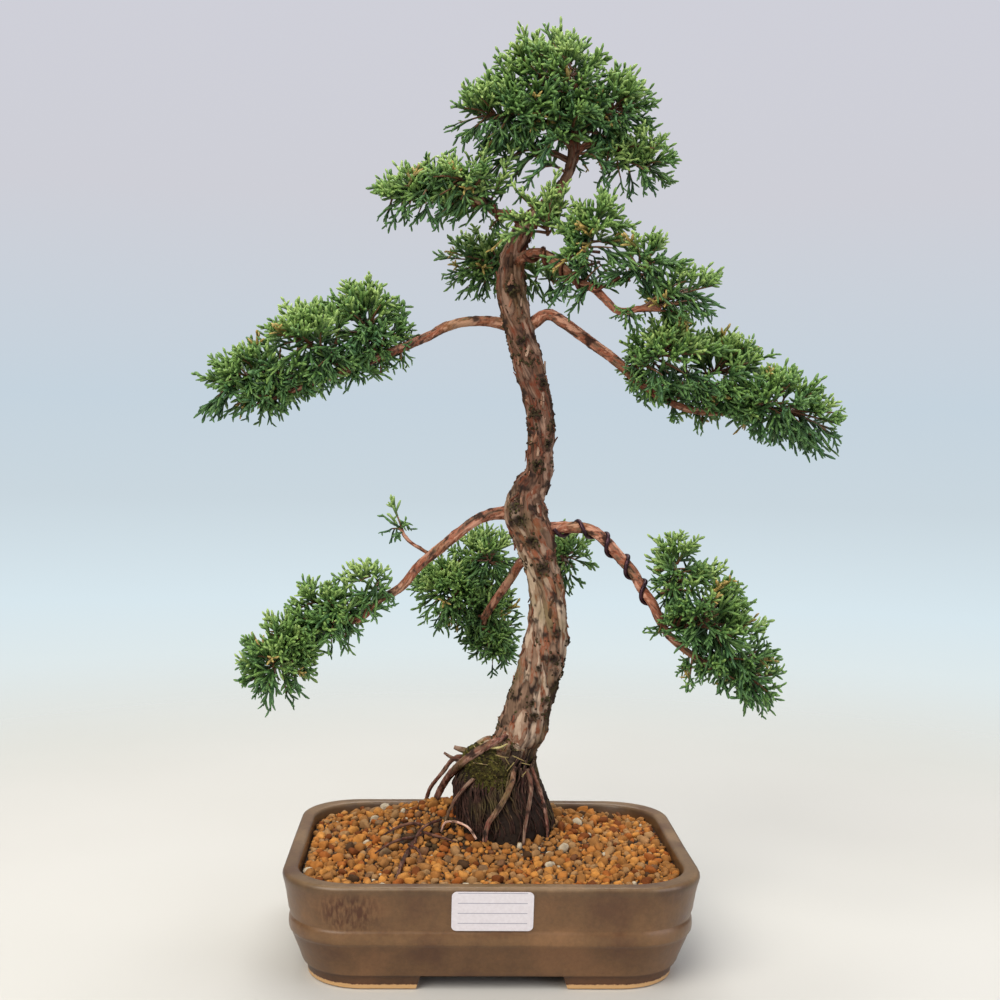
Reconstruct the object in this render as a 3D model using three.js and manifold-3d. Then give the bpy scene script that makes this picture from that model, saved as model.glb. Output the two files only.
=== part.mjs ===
// A juniper bonsai in an oblong stoneware pot, as a three.js scene. Millimetres, +Z up.
// The tree stands on a mound of baked-clay granules. Each stem, root, foliage pad, wire and
// made piece is a closed solid of its own, with a small gap where two of them meet.
// Everything is laid out about the centre of the pot's footprint; the last step moves the
// whole group so that the origin is under the middle of its bounding box.
import * as THREE from 'three';
import { mergeVertices } from 'three/addons/utils/BufferGeometryUtils.js';
import Module from 'manifold-3d';

// ---- driving dimensions --------------------------------------------------------------------
const GAP = 0.3;                 // clearance between touching pieces

const POT_LENGTH = 210;          // over the rim, along X
const POT_DEPTH = 160;           // over the rim, along Y
const POT_HEIGHT = 54.5;
const RIM_CORNER = 33;           // corner radius of the rim seen from above
const CORNER_SHRINK = 0.6;       // how fast the corner radius falls as the wall runs inwards
const FOOT_HEIGHT = 7;
const FLOOR_TOP = 14;
const FLOOR_INSET = 18;          // where the inner wall meets the floor
const FOOT_GAP_X = 74;           // clear width between the front feet
const FOOT_GAP_Y = 56;           // clear width between the side feet
const FOOT_SLANT = 3;            // how far a foot's end leans over its height
const DRAIN_DIAMETER = 22;
const DRAIN_OFFSET = 48;         // drain hole centres, either side of the middle

// The pot's wall as [inset from the rim outline, height], from the foot up to the lip.
const POT_OUTSIDE = [
  [12.7, 0], [11.9, 4], [10.8, 6.4], [9.9, 8.2], [7.8, 14], [6.3, 18], [4.9, 22], [4.5, 23.8],
  [3.6, 25], [3.1, 27.5], [3.2, 30.6], [3.9, 32.2], [2.8, 36], [1.7, 44], [0.8, 48.5], [0, 51.5], [0.3, 53.6],
  [1.3, POT_HEIGHT],
];
const POT_INSIDE = [
  [6.4, POT_HEIGHT], [7.6, 53.5], [8.2, 50], [11.5, 26], [14.2, 17], [FLOOR_INSET, FLOOR_TOP],
];
const FOOT_INNER_INSET = 24.5;

const MESH_PLATE = 32;           // drainage mesh, square
const MESH_THICKNESS = 1;
const MESH_SLOT = 5;             // square openings in the mesh
const MESH_PITCH = 7;

const LABEL = { width: 39.5, height: 20.4, thickness: 0.4, corner: 2.5, x: -0.9, top: 52.8 };
const LABEL_LEAN = Math.atan2(3.4, 19);   // the lean of the wall behind it

const MOUND = { x: -6, y: 36, rx: 58, ry: 36, rise: 18, base: 48.5, fall: 1.5 };
const SOIL_RINGS = [1, 0.84, 0.68, 0.5, 0.3, 0.12];

const LUMP_SWELL = 1.05;

const WIRE_DIAMETER = 2.2;
const WIRE_ROOM = 1.3 * WIRE_DIAMETER + 2 * GAP;   // what a wound branch needs round it

const wasm = await Module();
wasm.setup();

// ---- solids ---------------------------------------------------------------------------------
function toManifold(geometry) {
  const bare = geometry.clone();
  bare.deleteAttribute('normal');
  bare.deleteAttribute('uv');
  const merged = mergeVertices(bare, 1e-4);
  return new wasm.Manifold(new wasm.Mesh({
    numProp: 3,
    vertProperties: new Float32Array(merged.attributes.position.array),
    triVerts: new Uint32Array(merged.index.array),
  }));
}

function toGeometry(solid) {
  const mesh = solid.getMesh();
  const geometry = new THREE.BufferGeometry();
  geometry.setAttribute('position', new THREE.BufferAttribute(new Float32Array(mesh.vertProperties), 3));
  geometry.setIndex(new THREE.BufferAttribute(new Uint32Array(mesh.triVerts), 1));
  geometry.computeVertexNormals();
  return geometry;
}

// A closed skin over rings of points, all with the same count and running counter-clockwise
// seen from the end of the stack, with a fan on a middle point at each end.
function skin(rings) {
  const count = rings[0].length;
  const positions = [];
  const index = [];
  for (const ring of rings) for (const p of ring) positions.push(p.x, p.y, p.z);
  for (let i = 0; i < rings.length - 1; i += 1) {
    for (let j = 0; j < count; j += 1) {
      const a = i * count + j;
      const b = i * count + (j + 1) % count;
      index.push(a, b, b + count, a, b + count, a + count);
    }
  }
  const cap = (ring, first, flip) => {
    const middle = ring.reduce((sum, p) => sum.add(p), new THREE.Vector3()).divideScalar(count);
    const centre = positions.length / 3;
    positions.push(middle.x, middle.y, middle.z);
    for (let j = 0; j < count; j += 1) {
      const a = first + j;
      const b = first + (j + 1) % count;
      index.push(centre, ...(flip ? [b, a] : [a, b]));
    }
  };
  cap(rings[0], 0, true);
  cap(rings.at(-1), (rings.length - 1) * count, false);
  const geometry = new THREE.BufferGeometry();
  geometry.setAttribute('position', new THREE.Float32BufferAttribute(positions, 3));
  geometry.setIndex(index);
  return geometry;
}

// A round stem along a smooth curve through [x, y, z, radius] stations. ripple adds the uneven
// swelling of bark, and grow makes the same stem thicker, as a cutter that leaves a gap.
function limb(stations, { sides = 8, steps = 16, ripple = 0, grow = 0 } = {}) {
  const curve = new THREE.CatmullRomCurve3(stations.map(([x, y, z]) => new THREE.Vector3(x, y, z)));
  const frames = curve.computeFrenetFrames(steps, false);
  const rings = [];
  for (let i = 0; i <= steps; i += 1) {
    const centre = curve.getPointAt(i / steps);
    const along = curve.getUtoTmapping(i / steps) * (stations.length - 1);
    const k = Math.min(Math.floor(along), stations.length - 2);
    const radius = THREE.MathUtils.lerp(stations[k][3], stations[k + 1][3], along - k);
    const ring = [];
    for (let j = 0; j < sides; j += 1) {
      const angle = (2 * Math.PI * j) / sides;
      const swell = 1 + ripple * (Math.sin(3 * angle + 0.9 * i) + 0.6 * Math.sin(2 * angle - 0.53 * i));
      ring.push(centre.clone()
        .addScaledVector(frames.normals[i], Math.cos(angle) * (radius * swell + grow))
        .addScaledVector(frames.binormals[i], Math.sin(angle) * (radius * swell + grow)));
    }
    rings.push(ring);
  }
  return toManifold(skin(rings));
}

// LUMP_SWELL makes up for the volume that a coarse ball loses between its corners.
function lump([x, y, z, rx, ry, rz], grow = 0) {
  const ball = new THREE.IcosahedronGeometry(LUMP_SWELL, 1);
  ball.scale(rx + grow, ry + grow, rz + grow);
  ball.translate(x, y, z);
  return toManifold(ball);
}

const union = (solids) => solids.reduce((whole, solid) => whole.add(solid));
const cutBy = (solid, cutters) => cutters.reduce((rest, cutter) => rest.subtract(cutter), solid);

// ---- pot --------------------------------------------------------------------------------------
// The rim's rounded rectangle, drawn smaller by an inset, at one height.
function potRing(inset, z, arcSteps = 5) {
  const radius = RIM_CORNER - CORNER_SHRINK * inset;
  const ring = [];
  for (let corner = 0; corner < 4; corner += 1) {
    const sx = corner === 0 || corner === 3 ? 1 : -1;
    const sy = corner < 2 ? 1 : -1;
    const cx = sx * (POT_LENGTH / 2 - inset - radius);
    const cy = sy * (POT_DEPTH / 2 - inset - radius);
    for (let k = 0; k <= arcSteps; k += 1) {
      const angle = (corner + k / arcSteps) * (Math.PI / 2);
      ring.push(new THREE.Vector3(cx + radius * Math.cos(angle), cy + radius * Math.sin(angle), z));
    }
  }
  return ring;
}

function prism(outline, length) {
  const shape = new THREE.Shape(outline.map(([x, y]) => new THREE.Vector2(x, y)));
  return new THREE.ExtrudeGeometry(shape, { depth: length, bevelEnabled: false });
}

// The slot between two feet, wider at the bottom, running right through under the pot.
function footGap(width, length) {
  const half = width / 2;
  const slot = prism([
    [-half - FOOT_SLANT, -1], [half + FOOT_SLANT, -1], [half, FOOT_HEIGHT], [-half, FOOT_HEIGHT],
  ], length);
  slot.translate(0, 0, -length / 2);
  slot.rotateX(Math.PI / 2);
  return slot;
}

function drainHole(x, grow = 0) {
  const hole = new THREE.CylinderGeometry(DRAIN_DIAMETER / 2 + grow, DRAIN_DIAMETER / 2 + grow, 40, 20);
  hole.rotateX(Math.PI / 2);
  hole.translate(x, 0, 0);
  return toManifold(hole);
}

function pot() {
  const profile = [
    [FOOT_INNER_INSET, FOOT_HEIGHT], [FOOT_INNER_INSET, 0], ...POT_OUTSIDE, ...POT_INSIDE,
  ];
  const body = toManifold(skin(profile.map(([inset, z]) => potRing(inset, z))));
  const sideGap = footGap(FOOT_GAP_Y, POT_LENGTH + 20);
  sideGap.rotateZ(Math.PI / 2);
  return cutBy(body, [
    toManifold(footGap(FOOT_GAP_X, POT_DEPTH + 20)), toManifold(sideGap),
    drainHole(-DRAIN_OFFSET), drainHole(DRAIN_OFFSET),
  ]);
}

function box(sx, sy, sz, x, y, z) {
  const block = new THREE.BoxGeometry(sx, sy, sz);
  block.translate(x, y, z);
  return toManifold(block);
}

// A square of plastic mesh that keeps the granules in over a drain hole.
function drainMesh(x) {
  const z = FLOOR_TOP + GAP + MESH_THICKNESS / 2;
  const holes = [];
  for (const i of [-1, 0, 1]) {
    for (const j of [-1, 0, 1]) {
      holes.push(box(MESH_SLOT, MESH_SLOT, 9, x + i * MESH_PITCH, j * MESH_PITCH, z));
    }
  }
  return cutBy(box(MESH_PLATE, MESH_PLATE, MESH_THICKNESS, x, 0, z), holes);
}

// The card stuck on the front wall: a thin plate with round corners that leans with the wall.
function label() {
  const { width, height, thickness, corner, x, top } = LABEL;
  const w = width / 2 - corner;
  const h = height / 2 - corner;
  const shape = new THREE.Shape();
  shape.absarc(w, h, corner, 0, Math.PI / 2);
  shape.absarc(-w, h, corner, Math.PI / 2, Math.PI);
  shape.absarc(-w, -h, corner, Math.PI, 1.5 * Math.PI);
  shape.absarc(w, -h, corner, 1.5 * Math.PI, 2 * Math.PI);
  const plate = new THREE.ExtrudeGeometry(shape, { depth: thickness, bevelEnabled: false, curveSegments: 5 });
  plate.rotateX(Math.PI / 2 + LABEL_LEAN);
  const y = -POT_DEPTH / 2 - GAP + (height / 2) * Math.sin(LABEL_LEAN);
  plate.translate(x, y, top - (height / 2) * Math.cos(LABEL_LEAN));
  return toManifold(plate);
}

// ---- soil ---------------------------------------------------------------------------------------
function soilHeight(x, y) {
  const { rise, base, fall } = MOUND;
  const q = ((x - MOUND.x) / MOUND.rx) ** 2 + ((y - MOUND.y) / MOUND.ry) ** 2;
  return base - fall * (y / (POT_DEPTH / 2)) + rise * Math.exp(-q);
}

// The bed of granules fills the pot and rises in a mound round the root base.
function soilBed() {
  const walls = [...POT_INSIDE].reverse().filter(([, z]) => z < MOUND.base)
    .map(([inset, z], i) => potRing(inset + GAP + 0.2, z + (i === 0 ? GAP : 0)));
  const top = SOIL_RINGS.map((scale) => potRing(8.6 + GAP, 0).map((p) => {
    const x = THREE.MathUtils.lerp(MOUND.x, p.x, scale);
    const y = THREE.MathUtils.lerp(MOUND.y, p.y, scale);
    return new THREE.Vector3(x, y, soilHeight(x, y));
  }));
  return toManifold(skin([...walls, ...top]));
}

// ---- wood: stations are [x, y, z, radius] ----------------------------------------------------------
const TRUNK = [
  [9, 20, 26, 22], [9, 20, 42, 26], [9, 20, 60, 27.5], [7, 20, 70, 26], [4.5, 19, 81, 23.5],
  [5.5, 18, 90, 19.5], [12.5, 17, 99, 12.4], [14.5, 17, 105, 12.4], [17.5, 16, 111, 13.6],
  [22, 15, 128, 12.4], [27, 15, 146, 12.3], [30, 14, 165, 11.4], [30, 13, 183, 9.8],
  [26, 12, 202, 9], [21, 11, 219, 11], [17, 10, 231, 11.6], [18, 10, 242, 9.4], [23, 9, 252, 7.2],
  [24, 9, 266, 7.1], [24, 8, 280, 7.3], [21, 7, 294, 7.7], [17, 6, 309, 7.9], [13, 5, 323, 7.7],
  [9, 5, 337, 7.5], [6, 4, 351, 7.9], [6, 4, 358, 7.2], [8, 3, 371, 5.5], [15, 2, 386, 5],
  [25, 1, 396, 3.4], [34, 1, 409, 3.1], [38, 0, 423, 3], [37, 0, 436, 2.6], [37, 0, 452, 1.9],
];

const BRANCHES = {
  branch_left_low: [
    [16, 12, 229, 3.6], [4, 12, 230, 3.4], [-8, 9, 227, 3], [-17, 6, 221, 2.8], [-29, 3, 211, 2.8],
    [-40, 0, 202, 2.6], [-50, -2, 190, 2.4], [-62, -5, 183, 2.2], [-71, -8, 174, 1.9],
    [-85, -10, 172, 1.7], [-104, -10, 162, 1.4],
  ],
  branch_left_low_twig: [[-33, 2, 207, 1.1], [-40, 1, 211, 1], [-47, 0, 216, 0.9], [-51, 0, 222, 0.8]],
  branch_right_low: [
    [20, 12, 219, 3.6], [32, 12, 222, 3.4], [43, 8, 223, 3.1], [52, 5, 222, 3], [60, 1, 216, 3],
    [67, -3, 208, 3], [74, -8, 200, 2.9], [78, -12, 192, 2.8], [83, -16, 185, 2.6],
    [90, -17, 171, 2.2], [97, -18, 164, 2], [108, -20, 156, 1.6], [120, -20, 148, 1.3],
  ],
  branch_back_low: [
    [24, 14, 208, 3], [16, 26, 202, 2.7], [11, 36, 192, 2.5], [6, 47, 183, 2.4], [-1, 58, 170, 2.2],
    [-3, 69, 163, 2], [1, 76, 154, 1.7], [6, 80, 147, 1.4],
  ],
  branch_left_mid: [
    [11, 6, 329, 3.2], [2, 8, 332, 3], [-10, 6, 333, 2.7], [-26, 3, 330, 2.6], [-37, 0, 324, 2.4],
    [-45, -3, 320, 2.4], [-62, -7, 312, 2.2], [-80, -10, 304, 2], [-101, -10, 296, 1.8],
    [-123, -10, 287, 1.3],
  ],
  branch_right_mid: [
    [12, 6, 328, 3.4], [19, 7, 333, 3.3], [26, 4, 337, 3.1], [34, 1, 333, 3.1], [44, -1, 326, 3],
    [52, -3, 320, 2.9], [59, -5, 315, 2.8], [66, -7, 309, 2.6], [75, -8, 301, 2.3],
    [92, -8, 291, 2], [106, -8, 287, 1.8], [127, -8, 286, 1.3],
  ],
  branch_right_high: [
    [8, 3, 364, 3], [13, -3, 367, 2.7], [20, -8, 368, 2.6], [31, -13, 361, 2.5],
    [40, -17, 352, 2.3], [47, -21, 349, 2.2], [54, -25, 342, 2], [60, -26, 337, 1.9],
    [71, -27, 338, 1.7], [82, -28, 338, 1.3],
  ],
  branch_left_high: [
    [12, 2, 384, 2.6], [6, -3, 388, 2.4], [-3, -5, 389, 2.2], [-9, -6, 393, 2.1],
    [-18, -7, 396, 1.9], [-33, -7, 399, 1.6], [-46, -8, 401, 1.3],
  ],
  branch_back_high: [[7, 5, 362, 2.4], [6, 15, 364, 2.1], [2, 24, 366, 1.8], [-6, 32, 367, 1.4]],
  branch_apex_right: [[37, 0, 421, 1.9], [46, 1, 427, 1.7], [57, 2, 426, 1.5], [68, 3, 425, 1.2]],
};

const ROOTS = {
  root_left_inner: [
    [6, 16, 97, 2.6], [-1, 18, 101, 2.6], [-8, 18, 100, 2.5], [-14, 24, 93, 2.2], [-18.5, 30, 86, 2.2],
    [-22.5, 37, 79, 2.2], [-27, 44, 70, 2.1], [-30, 50, 60, 1.8],
  ],
  root_left_outer: [
    [-8, 28, 90, 1.5], [-15, 30, 92, 1.4], [-20, 35, 89, 1.3], [-25, 41, 81, 1.2], [-29.5, 46, 74, 1.2],
    [-33, 52, 67, 1.1], [-35, 56, 58, 1],
  ],
  root_front: [
    [13, 2, 93, 1.7], [12, -2.5, 88, 1.9], [10.5, -5, 84, 1.9], [7.5, -7, 78, 1.9], [3, -8, 71, 1.8],
    [-1, -9, 65, 1.7], [-3, -11, 56, 1.5],
  ],
  root_right: [
    [22, 10, 93, 1.2], [26, 8, 83, 1.2], [29, 6.5, 74, 1.1], [31, 4, 65, 1], [32, 3, 54, 0.9],
  ],
  root_surface_left: [
    [-34, 4, 56, 1.4], [-39, -4, 55, 1.5], [-42, -13, 53, 1.4], [-46, -36, 52, 1.1], [-48, -55, 50, 0.8],
  ],
  root_surface_arch: [
    [-26, 4, 57, 0.9], [-24, 3, 62, 0.9], [-20.5, 1.5, 63.5, 0.9], [-16, 0, 63, 0.9], [-11, -3, 61, 0.9],
    [-7, -6, 56, 0.9],
  ],
};

// ---- foliage: each pad is a few overlapping lumps, [x, y, z, rx, ry, rz] ------------------------------
const FOLIAGE = {
  foliage_apex: [[25, 2, 454, 33, 32, 31], [-4, -5, 438, 25, 26, 18], [56, 3, 446, 26, 27, 22]],
  foliage_apex_right: [[76, 5, 421, 17, 22, 18], [60, 4, 415, 12, 16, 12]],
  foliage_left_high: [
    [-36, -10, 397, 28, 27, 16], [-56, -6, 393, 14, 18, 10], [-18, -8, 405, 16, 18, 13],
  ],
  foliage_front_high: [[17, -20, 387, 14, 10, 15]],
  foliage_back_high: [[-10, 37, 368, 21, 20, 21], [33, 40, 358, 16, 17, 11], [10, 39, 363, 18, 16, 11]],
  foliage_right_high: [
    [48, -22, 375, 16, 20, 22], [73, -26, 363, 16, 20, 13], [95, -24, 347, 20, 20, 14],
  ],
  foliage_left_mid: [
    [-70, -5, 330, 21, 27, 22], [-98, -14, 316, 26, 29, 22], [-127, -6, 298, 23, 27, 19],
    [-145, -12, 292, 12, 17, 13],
  ],
  foliage_right_mid: [
    [89, -12, 313, 23, 26, 23], [118, -5, 307, 26, 29, 23], [148, -13, 292, 23, 27, 20],
    [171, -7, 281, 15, 19, 15],
  ],
  foliage_left_low: [
    [-114, -12, 151, 19, 23, 23], [-89, -6, 174, 19, 22, 20], [-67, -7, 189, 13, 16, 14],
  ],
  foliage_left_low_tuft: [[-53, 0, 226, 7, 6, 9]],
  foliage_right_low: [
    [97, -12, 205, 14, 18, 18], [109, -20, 184, 20, 24, 23], [127, -16, 161, 20, 24, 22],
    [140, -20, 143, 12, 17, 16],
  ],
  foliage_back_low: [[-25, 70, 180, 21, 21, 21], [-3, 77, 202, 20, 19, 15], [3, 80, 158, 17, 19, 26]],
  foliage_back_low_right: [[48, 60, 202, 12, 16, 19]],
};
const MOSS = [[-3, 12, 95, 12, 13, 9], [0, 4, 90, 11, 8, 7], [2, 5, 84, 12, 9, 9]];

// ---- wires: which branch each is wound on, between two fractions of its length, and its turns --------
const WIRES = {
  wire_right_low: { branch: 'branch_right_low', from: 0.1, to: 0.62, turns: 4.5 },
  wire_right_high: { branch: 'branch_right_high', from: 0.16, to: 0.68, turns: 4 },
  wire_left_high: { branch: 'branch_left_high', from: 0.2, to: 0.75, turns: 2.5 },
};
const STEPS_PER_TURN = 7;

// The helix of a wire round a branch that gets thinner along its length.
class WireCurve extends THREE.Curve {
  constructor(stations, { from, to, turns }) {
    super();
    this.path = new THREE.CatmullRomCurve3(stations.map(([x, y, z]) => new THREE.Vector3(x, y, z)));
    this.stations = stations;
    this.from = from;
    this.to = to;
    this.turns = turns;
  }

  getPoint(t, target = new THREE.Vector3()) {
    const u = this.from + (this.to - this.from) * t;
    const along = this.path.getUtoTmapping(u) * (this.stations.length - 1);
    const k = Math.min(Math.floor(along), this.stations.length - 2);
    const radius = THREE.MathUtils.lerp(this.stations[k][3], this.stations[k + 1][3], along - k)
      + WIRE_DIAMETER / 2 + 2 * GAP;
    const tangent = this.path.getTangentAt(u);
    const side = new THREE.Vector3(0, 1, 0).addScaledVector(tangent, -tangent.y).normalize();
    const up = tangent.clone().cross(side);
    const angle = 2 * Math.PI * this.turns * t;
    return target.copy(this.path.getPointAt(u))
      .addScaledVector(side, radius * Math.cos(angle))
      .addScaledVector(up, radius * Math.sin(angle));
  }
}

function wire(spec) {
  const section = new THREE.Shape();
  section.absarc(0, 0, WIRE_DIAMETER / 2, 0, 2 * Math.PI);
  const tube = new THREE.ExtrudeGeometry(section, {
    extrudePath: new WireCurve(BRANCHES[spec.branch], spec),
    steps: Math.round(spec.turns * STEPS_PER_TURN),
    curveSegments: 3,
  });
  return toManifold(tube);
}

// ---- assembly --------------------------------------------------------------------------------------
const CERAMIC = { color: '#74593f', roughness: 0.42, metalness: 0 };
const GRANULES = { color: '#c4884f', roughness: 0.95, metalness: 0 };
const BARK = { color: '#8b6a56', roughness: 0.9, metalness: 0 };
const YOUNG_BARK = { color: '#8a5a45', roughness: 0.8, metalness: 0 };
const ROOT_BARK = { color: '#4d352b', roughness: 0.85, metalness: 0 };
const LEAVES = { color: '#3c6e34', roughness: 0.7, metalness: 0 };
const MOSS_GREEN = { color: '#5c5a24', roughness: 1, metalness: 0 };
const WIRE_METAL = { color: '#5a3a36', roughness: 0.45, metalness: 1 };
const CARD = { color: '#e9e8ea', roughness: 0.5, metalness: 0 };
const PLASTIC = { color: '#22251f', roughness: 0.6, metalness: 0 };

const group = new THREE.Group();

function place(name, solid, finish) {
  const mesh = new THREE.Mesh(toGeometry(solid), new THREE.MeshStandardMaterial(finish));
  mesh.name = name;
  group.add(mesh);
}

const TRUNK_SHAPE = { sides: 11, steps: 48, ripple: 0.03 };
const trunk = limb(TRUNK, TRUNK_SHAPE);
const trunkCutter = limb(TRUNK, { ...TRUNK_SHAPE, grow: GAP });
const branchShape = (stations) => ({ sides: 7, steps: Math.round(1.5 * stations.length), ripple: 0.02 });
const wired = new Set(Object.values(WIRES).map((spec) => spec.branch));
const branchCutters = Object.entries(BRANCHES).map(([name, stations]) => limb(stations, {
  ...branchShape(stations),
  grow: GAP + (wired.has(name) ? WIRE_ROOM : 0),
}));

place('pot', pot(), CERAMIC);
for (const [name, x] of [['drain_mesh_left', -DRAIN_OFFSET], ['drain_mesh_right', DRAIN_OFFSET]]) {
  place(name, drainMesh(x), PLASTIC);
}
place('label', label(), CARD);
place('trunk', trunk, BARK);

// The side twig leaves the low left branch, and every other branch leaves the trunk.
const lowLeft = BRANCHES.branch_left_low;
const twigCutter = limb(lowLeft, { ...branchShape(lowLeft), grow: GAP });
for (const [name, stations] of Object.entries(BRANCHES)) {
  const parent = name.endsWith('_twig') ? twigCutter : trunkCutter;
  place(name, cutBy(limb(stations, branchShape(stations)), [parent]), YOUNG_BARK);
}
for (const [name, spec] of Object.entries(WIRES)) place(name, cutBy(wire(spec), [trunkCutter]), WIRE_METAL);

const rootShape = { sides: 6, steps: 9 };
const rootCutters = Object.values(ROOTS).map((stations) => limb(stations, { ...rootShape, grow: GAP }));
for (const [name, stations] of Object.entries(ROOTS)) {
  place(name, cutBy(limb(stations, rootShape), [trunkCutter]), ROOT_BARK);
}
place('moss', cutBy(union(MOSS.map((m) => lump(m))), [trunkCutter, ...rootCutters]), MOSS_GREEN);

const pocket = MESH_PLATE + 2 * GAP;
const meshPockets = [-DRAIN_OFFSET, DRAIN_OFFSET].map((x) => (
  box(pocket, pocket, 2 * (MESH_THICKNESS + 2 * GAP), x, 0, FLOOR_TOP)
));
place('substrate', cutBy(soilBed(), [trunkCutter, ...rootCutters, ...meshPockets]), GRANULES);

// A pad is cut by the wood inside it, and by the pads placed before it.
const earlier = [];
for (const [name, lumps] of Object.entries(FOLIAGE)) {
  place(name, cutBy(union(lumps.map((l) => lump(l))), [trunkCutter, ...branchCutters, ...earlier]), LEAVES);
  earlier.push(union(lumps.map((l) => lump(l, GAP))));
}

// The origin goes under the middle of the whole.
const bounds = new THREE.Box3().setFromObject(group);
group.position.set(-(bounds.min.x + bounds.max.x) / 2, -(bounds.min.y + bounds.max.y) / 2, -bounds.min.z);

export default group;
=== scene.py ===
"""The looks of a juniper bonsai in an oblong stoneware pot, laid out as an add-on.

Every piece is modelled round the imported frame: lengths in the script are millimetres measured
from the middle of the pot's footprint, and at() turns them into the frame's metres.
"""
import math
import random

import bpy
import numpy as np
from mathutils import Euler, Matrix, Vector, noise
from mathutils.bvhtree import BVHTree


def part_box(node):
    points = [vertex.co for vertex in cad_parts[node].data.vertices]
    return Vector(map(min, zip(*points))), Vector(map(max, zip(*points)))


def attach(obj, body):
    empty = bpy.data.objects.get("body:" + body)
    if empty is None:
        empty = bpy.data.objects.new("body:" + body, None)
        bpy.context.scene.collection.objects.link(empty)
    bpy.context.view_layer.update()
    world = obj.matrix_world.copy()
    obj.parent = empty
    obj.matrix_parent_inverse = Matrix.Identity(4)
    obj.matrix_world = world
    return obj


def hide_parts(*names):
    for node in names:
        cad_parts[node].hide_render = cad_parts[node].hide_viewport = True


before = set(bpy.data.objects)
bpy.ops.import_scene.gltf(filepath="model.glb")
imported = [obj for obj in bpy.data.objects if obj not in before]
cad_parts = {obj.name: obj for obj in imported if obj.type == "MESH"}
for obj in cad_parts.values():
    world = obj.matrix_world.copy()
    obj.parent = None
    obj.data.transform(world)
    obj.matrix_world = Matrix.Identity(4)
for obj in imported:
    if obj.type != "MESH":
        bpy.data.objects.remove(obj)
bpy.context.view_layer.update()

bl_info = {
    "name": "Juniper Bonsai",
    "version": (1, 0, 0),
    "blender": (4, 5, 0),
    "location": "3D View > Sidebar > Bonsai",
    "description": "Models a juniper bonsai in a stoneware pot round its packed frame",
    "category": "Add Mesh",
}

MM = 0.001
POT_LOW, POT_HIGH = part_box("pot")
POT_MIDDLE = Vector(((POT_LOW.x + POT_HIGH.x) / 2, (POT_LOW.y + POT_HIGH.y) / 2, POT_LOW.z))
POT_HALF_LENGTH = (POT_HIGH.x - POT_LOW.x) / 2 / MM
POT_HALF_DEPTH = (POT_HIGH.y - POT_LOW.y) / 2 / MM
POT_HEIGHT = (POT_HIGH.z - POT_LOW.z) / MM
UP = Vector((0, 0, 1))
NOISE_SEED = 7    # noise_vector is seeded from the clock unless it is given a seed

# ---- routes ------------------------------------------------------
# Each station of a stem is [x, y, z, radius] in pot millimetres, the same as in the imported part.
TRUNK = [
    [9, 20, 36, 24], [9, 20, 46, 26], [9, 20, 60, 27], [7, 20, 70, 25.5], [4.5, 19, 81, 23],
    [5.5, 18, 90, 19], [12.5, 17, 99, 12.4], [14.5, 17, 105, 12.4], [17.5, 16, 111, 13.6],
    [22, 15, 128, 12.4], [27, 15, 146, 12.3], [30, 14, 165, 11.4], [30, 13, 183, 9.8],
    [26, 12, 202, 9], [21, 11, 219, 11], [17, 10, 231, 11.6], [18, 10, 242, 9.4], [23, 9, 252, 7.2],
    [24, 9, 266, 7.1], [24, 8, 280, 7.3], [21, 7, 294, 7.7], [17, 6, 309, 7.9], [13, 5, 323, 7.7],
    [9, 5, 337, 7.5], [6, 4, 351, 7.9], [6, 4, 358, 7.2], [8, 3, 371, 5.5], [15, 2, 386, 5],
    [25, 1, 396, 3.4], [34, 1, 409, 3.1], [38, 0, 423, 3], [37, 0, 436, 2.6], [37, 0, 452, 1.9],
]
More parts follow.
